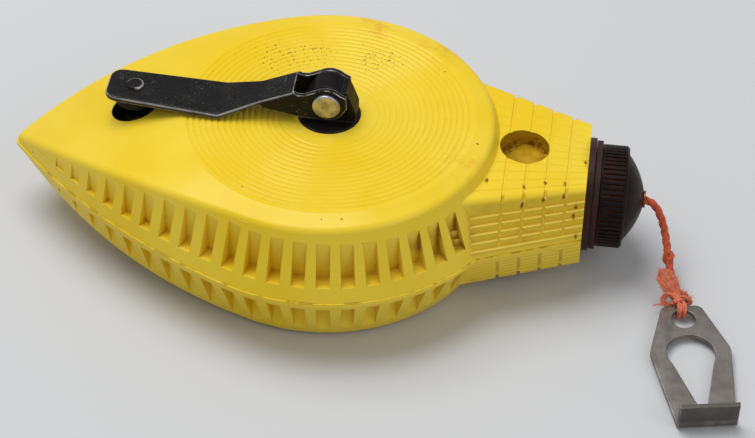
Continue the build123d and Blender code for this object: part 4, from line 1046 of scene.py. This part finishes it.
class REEL_OT_crank(bpy.types.Operator):
    """Finishes of the hub, crank, pin, rivet and knob"""

    bl_idname = "reel.crank"
    bl_label = "Hub and crank"

    def execute(self, context):
        tint = colours()
        paint_nodes(painted_steel("black_paint", tint.paint, 0.34, 0.0008, sheet_edge), "crank_arm")
        paint_nodes(black_plastic(), "drive_hub", "crank_knob")
        paint_nodes(mottled_metal("pin_metal", tint.pin, tint.pin_dull, 0.42, 260.0), "crank_pin")
        paint_nodes(painted_steel("rivet_paint", tint.paint, 0.30, 0.0006, rivet_ring), "knob_rivet")
        return {"FINISHED"}


class REEL_OT_cap(bpy.types.Operator):
    """Finishes of the spout, gasket, cap and nose"""

    bl_idname = "reel.cap"
    bl_label = "Spout and cap"

    def execute(self, context):
        tint = colours()
        paint_nodes(cap_plastic(), "screw_cap")
        paint_nodes(dusty_plastic("collar_plastic", tint.collar, 0.25, 0.45), "neck_spout")
        paint_nodes(dusty_plastic("gasket_rubber", tint.gasket, 0.3, 0.6), "cap_gasket")
        brass = mottled_metal("eyelet_brass", tint.eyelet, tint.eyelet_dull, 0.42, 500.0)
        paint_nodes(brass, "nose_eyelet")
        paint_nodes(dusty_plastic("wiper_felt", tint.felt, 0.7, 0.85), "felt_wiper")
        return {"FINISHED"}


class REEL_OT_hook(bpy.types.Operator):
    """Finish of the flat hook"""

    bl_idname = "reel.hook"
    bl_label = "Hook"

    def execute(self, context):
        paint_nodes(hook_steel(), "end_hook")
        return {"FINISHED"}


class REEL_OT_inside(bpy.types.Operator):
    """Finishes of the pieces inside the case"""

    bl_idname = "reel.inside"
    bl_label = "Inside"

    def execute(self, context):
        tint = colours()
        white = dusty_plastic("spool_plastic", tint.spool, 0.8)
        paint_nodes(white, "spool_drum", "spool_flange", "thrust_washer")
        paint_nodes(dusty_plastic("seal_felt", tint.felt, 0.6, 0.85), "hub_seal")
        paint_nodes(wound_cotton(), "wound_line")
        paint_nodes(dusty_plastic("inner_cotton", tint.line, 0.5, 0.9), "inner_line", "nose_line")
        brass = mottled_metal("bush_brass", tint.bush, tint.bush_dull, 0.35, 500.0)
        paint_nodes(brass, "lower_bush")
        steel = mottled_metal("screw_steel", tint.bare_steel, tint.screw_dull, 0.32, 600.0)
        paint_nodes(steel, "case_screws", "hub_screw", "hub_washer")
        return {"FINISHED"}


class REEL_OT_stage(bpy.types.Operator):
    """Floor, lights and camera"""

    bl_idname = "reel.stage"
    bl_label = "Stage"

    def execute(self, context):
        scene = context.scene
        size = sizes()
        edge = np.array((-FLOOR_REACH, FLOOR_REACH), float)
        x, y = np.meshgrid(edge, edge, indexing="ij")
        corners = np.stack([x, y, 0 * x], axis=-1).reshape(-1, 3)
        floor = make_piece("floor", corners, [grid_faces(2, 2)[:, ::-1]])
        floor.data.materials.append(floor_finish())
        world = bpy.data.worlds.new("studio")
        world.use_nodes = True
        world.node_tree.nodes["Background"].inputs["Color"].default_value = (1, 1, 1, 1)
        world.node_tree.nodes["Background"].inputs["Strength"].default_value = SKY_STRENGTH
        scene.world = world
        for name, place, power, width in LAMPS:
            data = bpy.data.lights.new(name, "AREA")
            data.energy = power
            data.shape = "DISK"
            data.size = width
            lamp = bpy.data.objects.new(name, data)
            lamp.location = place
            lamp.rotation_euler = (-Vector(place)).to_track_quat("-Z", "Y").to_euler()
            scene.collection.objects.link(lamp)
        azimuth, elevation, roll = size.camera_turn
        level = np.cos(elevation)
        back = Vector((np.sin(azimuth) * level, -np.cos(azimuth) * level, np.sin(elevation)))
        right = Vector((np.cos(azimuth), np.sin(azimuth), 0))
        up = back.cross(right)
        turned_right = np.cos(roll) * right + np.sin(roll) * up
        turned_up = -np.sin(roll) * right + np.cos(roll) * up
        data = bpy.data.cameras.new("photo_view")
        data.sensor_width = 36
        data.sensor_fit = "HORIZONTAL"
        data.lens = data.sensor_width * size.camera_focal / IMAGE_WIDTH
        data.clip_start = 0.01
        camera = bpy.data.objects.new("photo_view", data)
        turn = Matrix((turned_right, turned_up, back)).transposed().to_4x4()
        place = Vector(size.camera_target) + back * size.camera_distance
        camera.matrix_world = Matrix.Translation(place) @ turn
        scene.collection.objects.link(camera)
        scene.camera = camera
        scene.view_settings.view_transform = "Standard"
        return {"FINISHED"}


class REEL_PT_panel(bpy.types.Panel):
    """Steps, sizes and colours of the chalk reel"""

    bl_idname = "REEL_PT_panel"
    bl_label = "Chalk line reel"
    bl_space_type = "VIEW_3D"
    bl_region_type = "UI"
    bl_category = "Chalk reel"

    def draw(self, context):
        for operator in OPERATORS:
            self.layout.operator(operator.bl_idname)
        for group in (sizes(), colours()):
            for name in group.__annotations__:
                self.layout.prop(group, name)


OPERATORS = (
    REEL_OT_groups,
    REEL_OT_stage,
    REEL_OT_line,
    REEL_OT_case,
    REEL_OT_crank,
    REEL_OT_cap,
    REEL_OT_hook,
    REEL_OT_inside,
)
CLASSES = (ReelSizes, ReelColours, *OPERATORS, REEL_PT_panel)


def register():
    """Register the classes and hang the settings on the scene."""
    for item in CLASSES:
        bpy.utils.register_class(item)
    bpy.types.Scene.reel_sizes = bpy.props.PointerProperty(type=ReelSizes)
    bpy.types.Scene.reel_colours = bpy.props.PointerProperty(type=ReelColours)


def unregister():
    """Take the settings and the classes away again."""
    del bpy.types.Scene.reel_sizes
    del bpy.types.Scene.reel_colours
    for item in reversed(CLASSES):
        bpy.utils.unregister_class(item)


def main():
    """Build everything in order."""
    register()
    for operator in OPERATORS:
        group, name = operator.bl_idname.split(".")
        getattr(getattr(bpy.ops, group), name)()


if __name__ == "__main__":
    main()
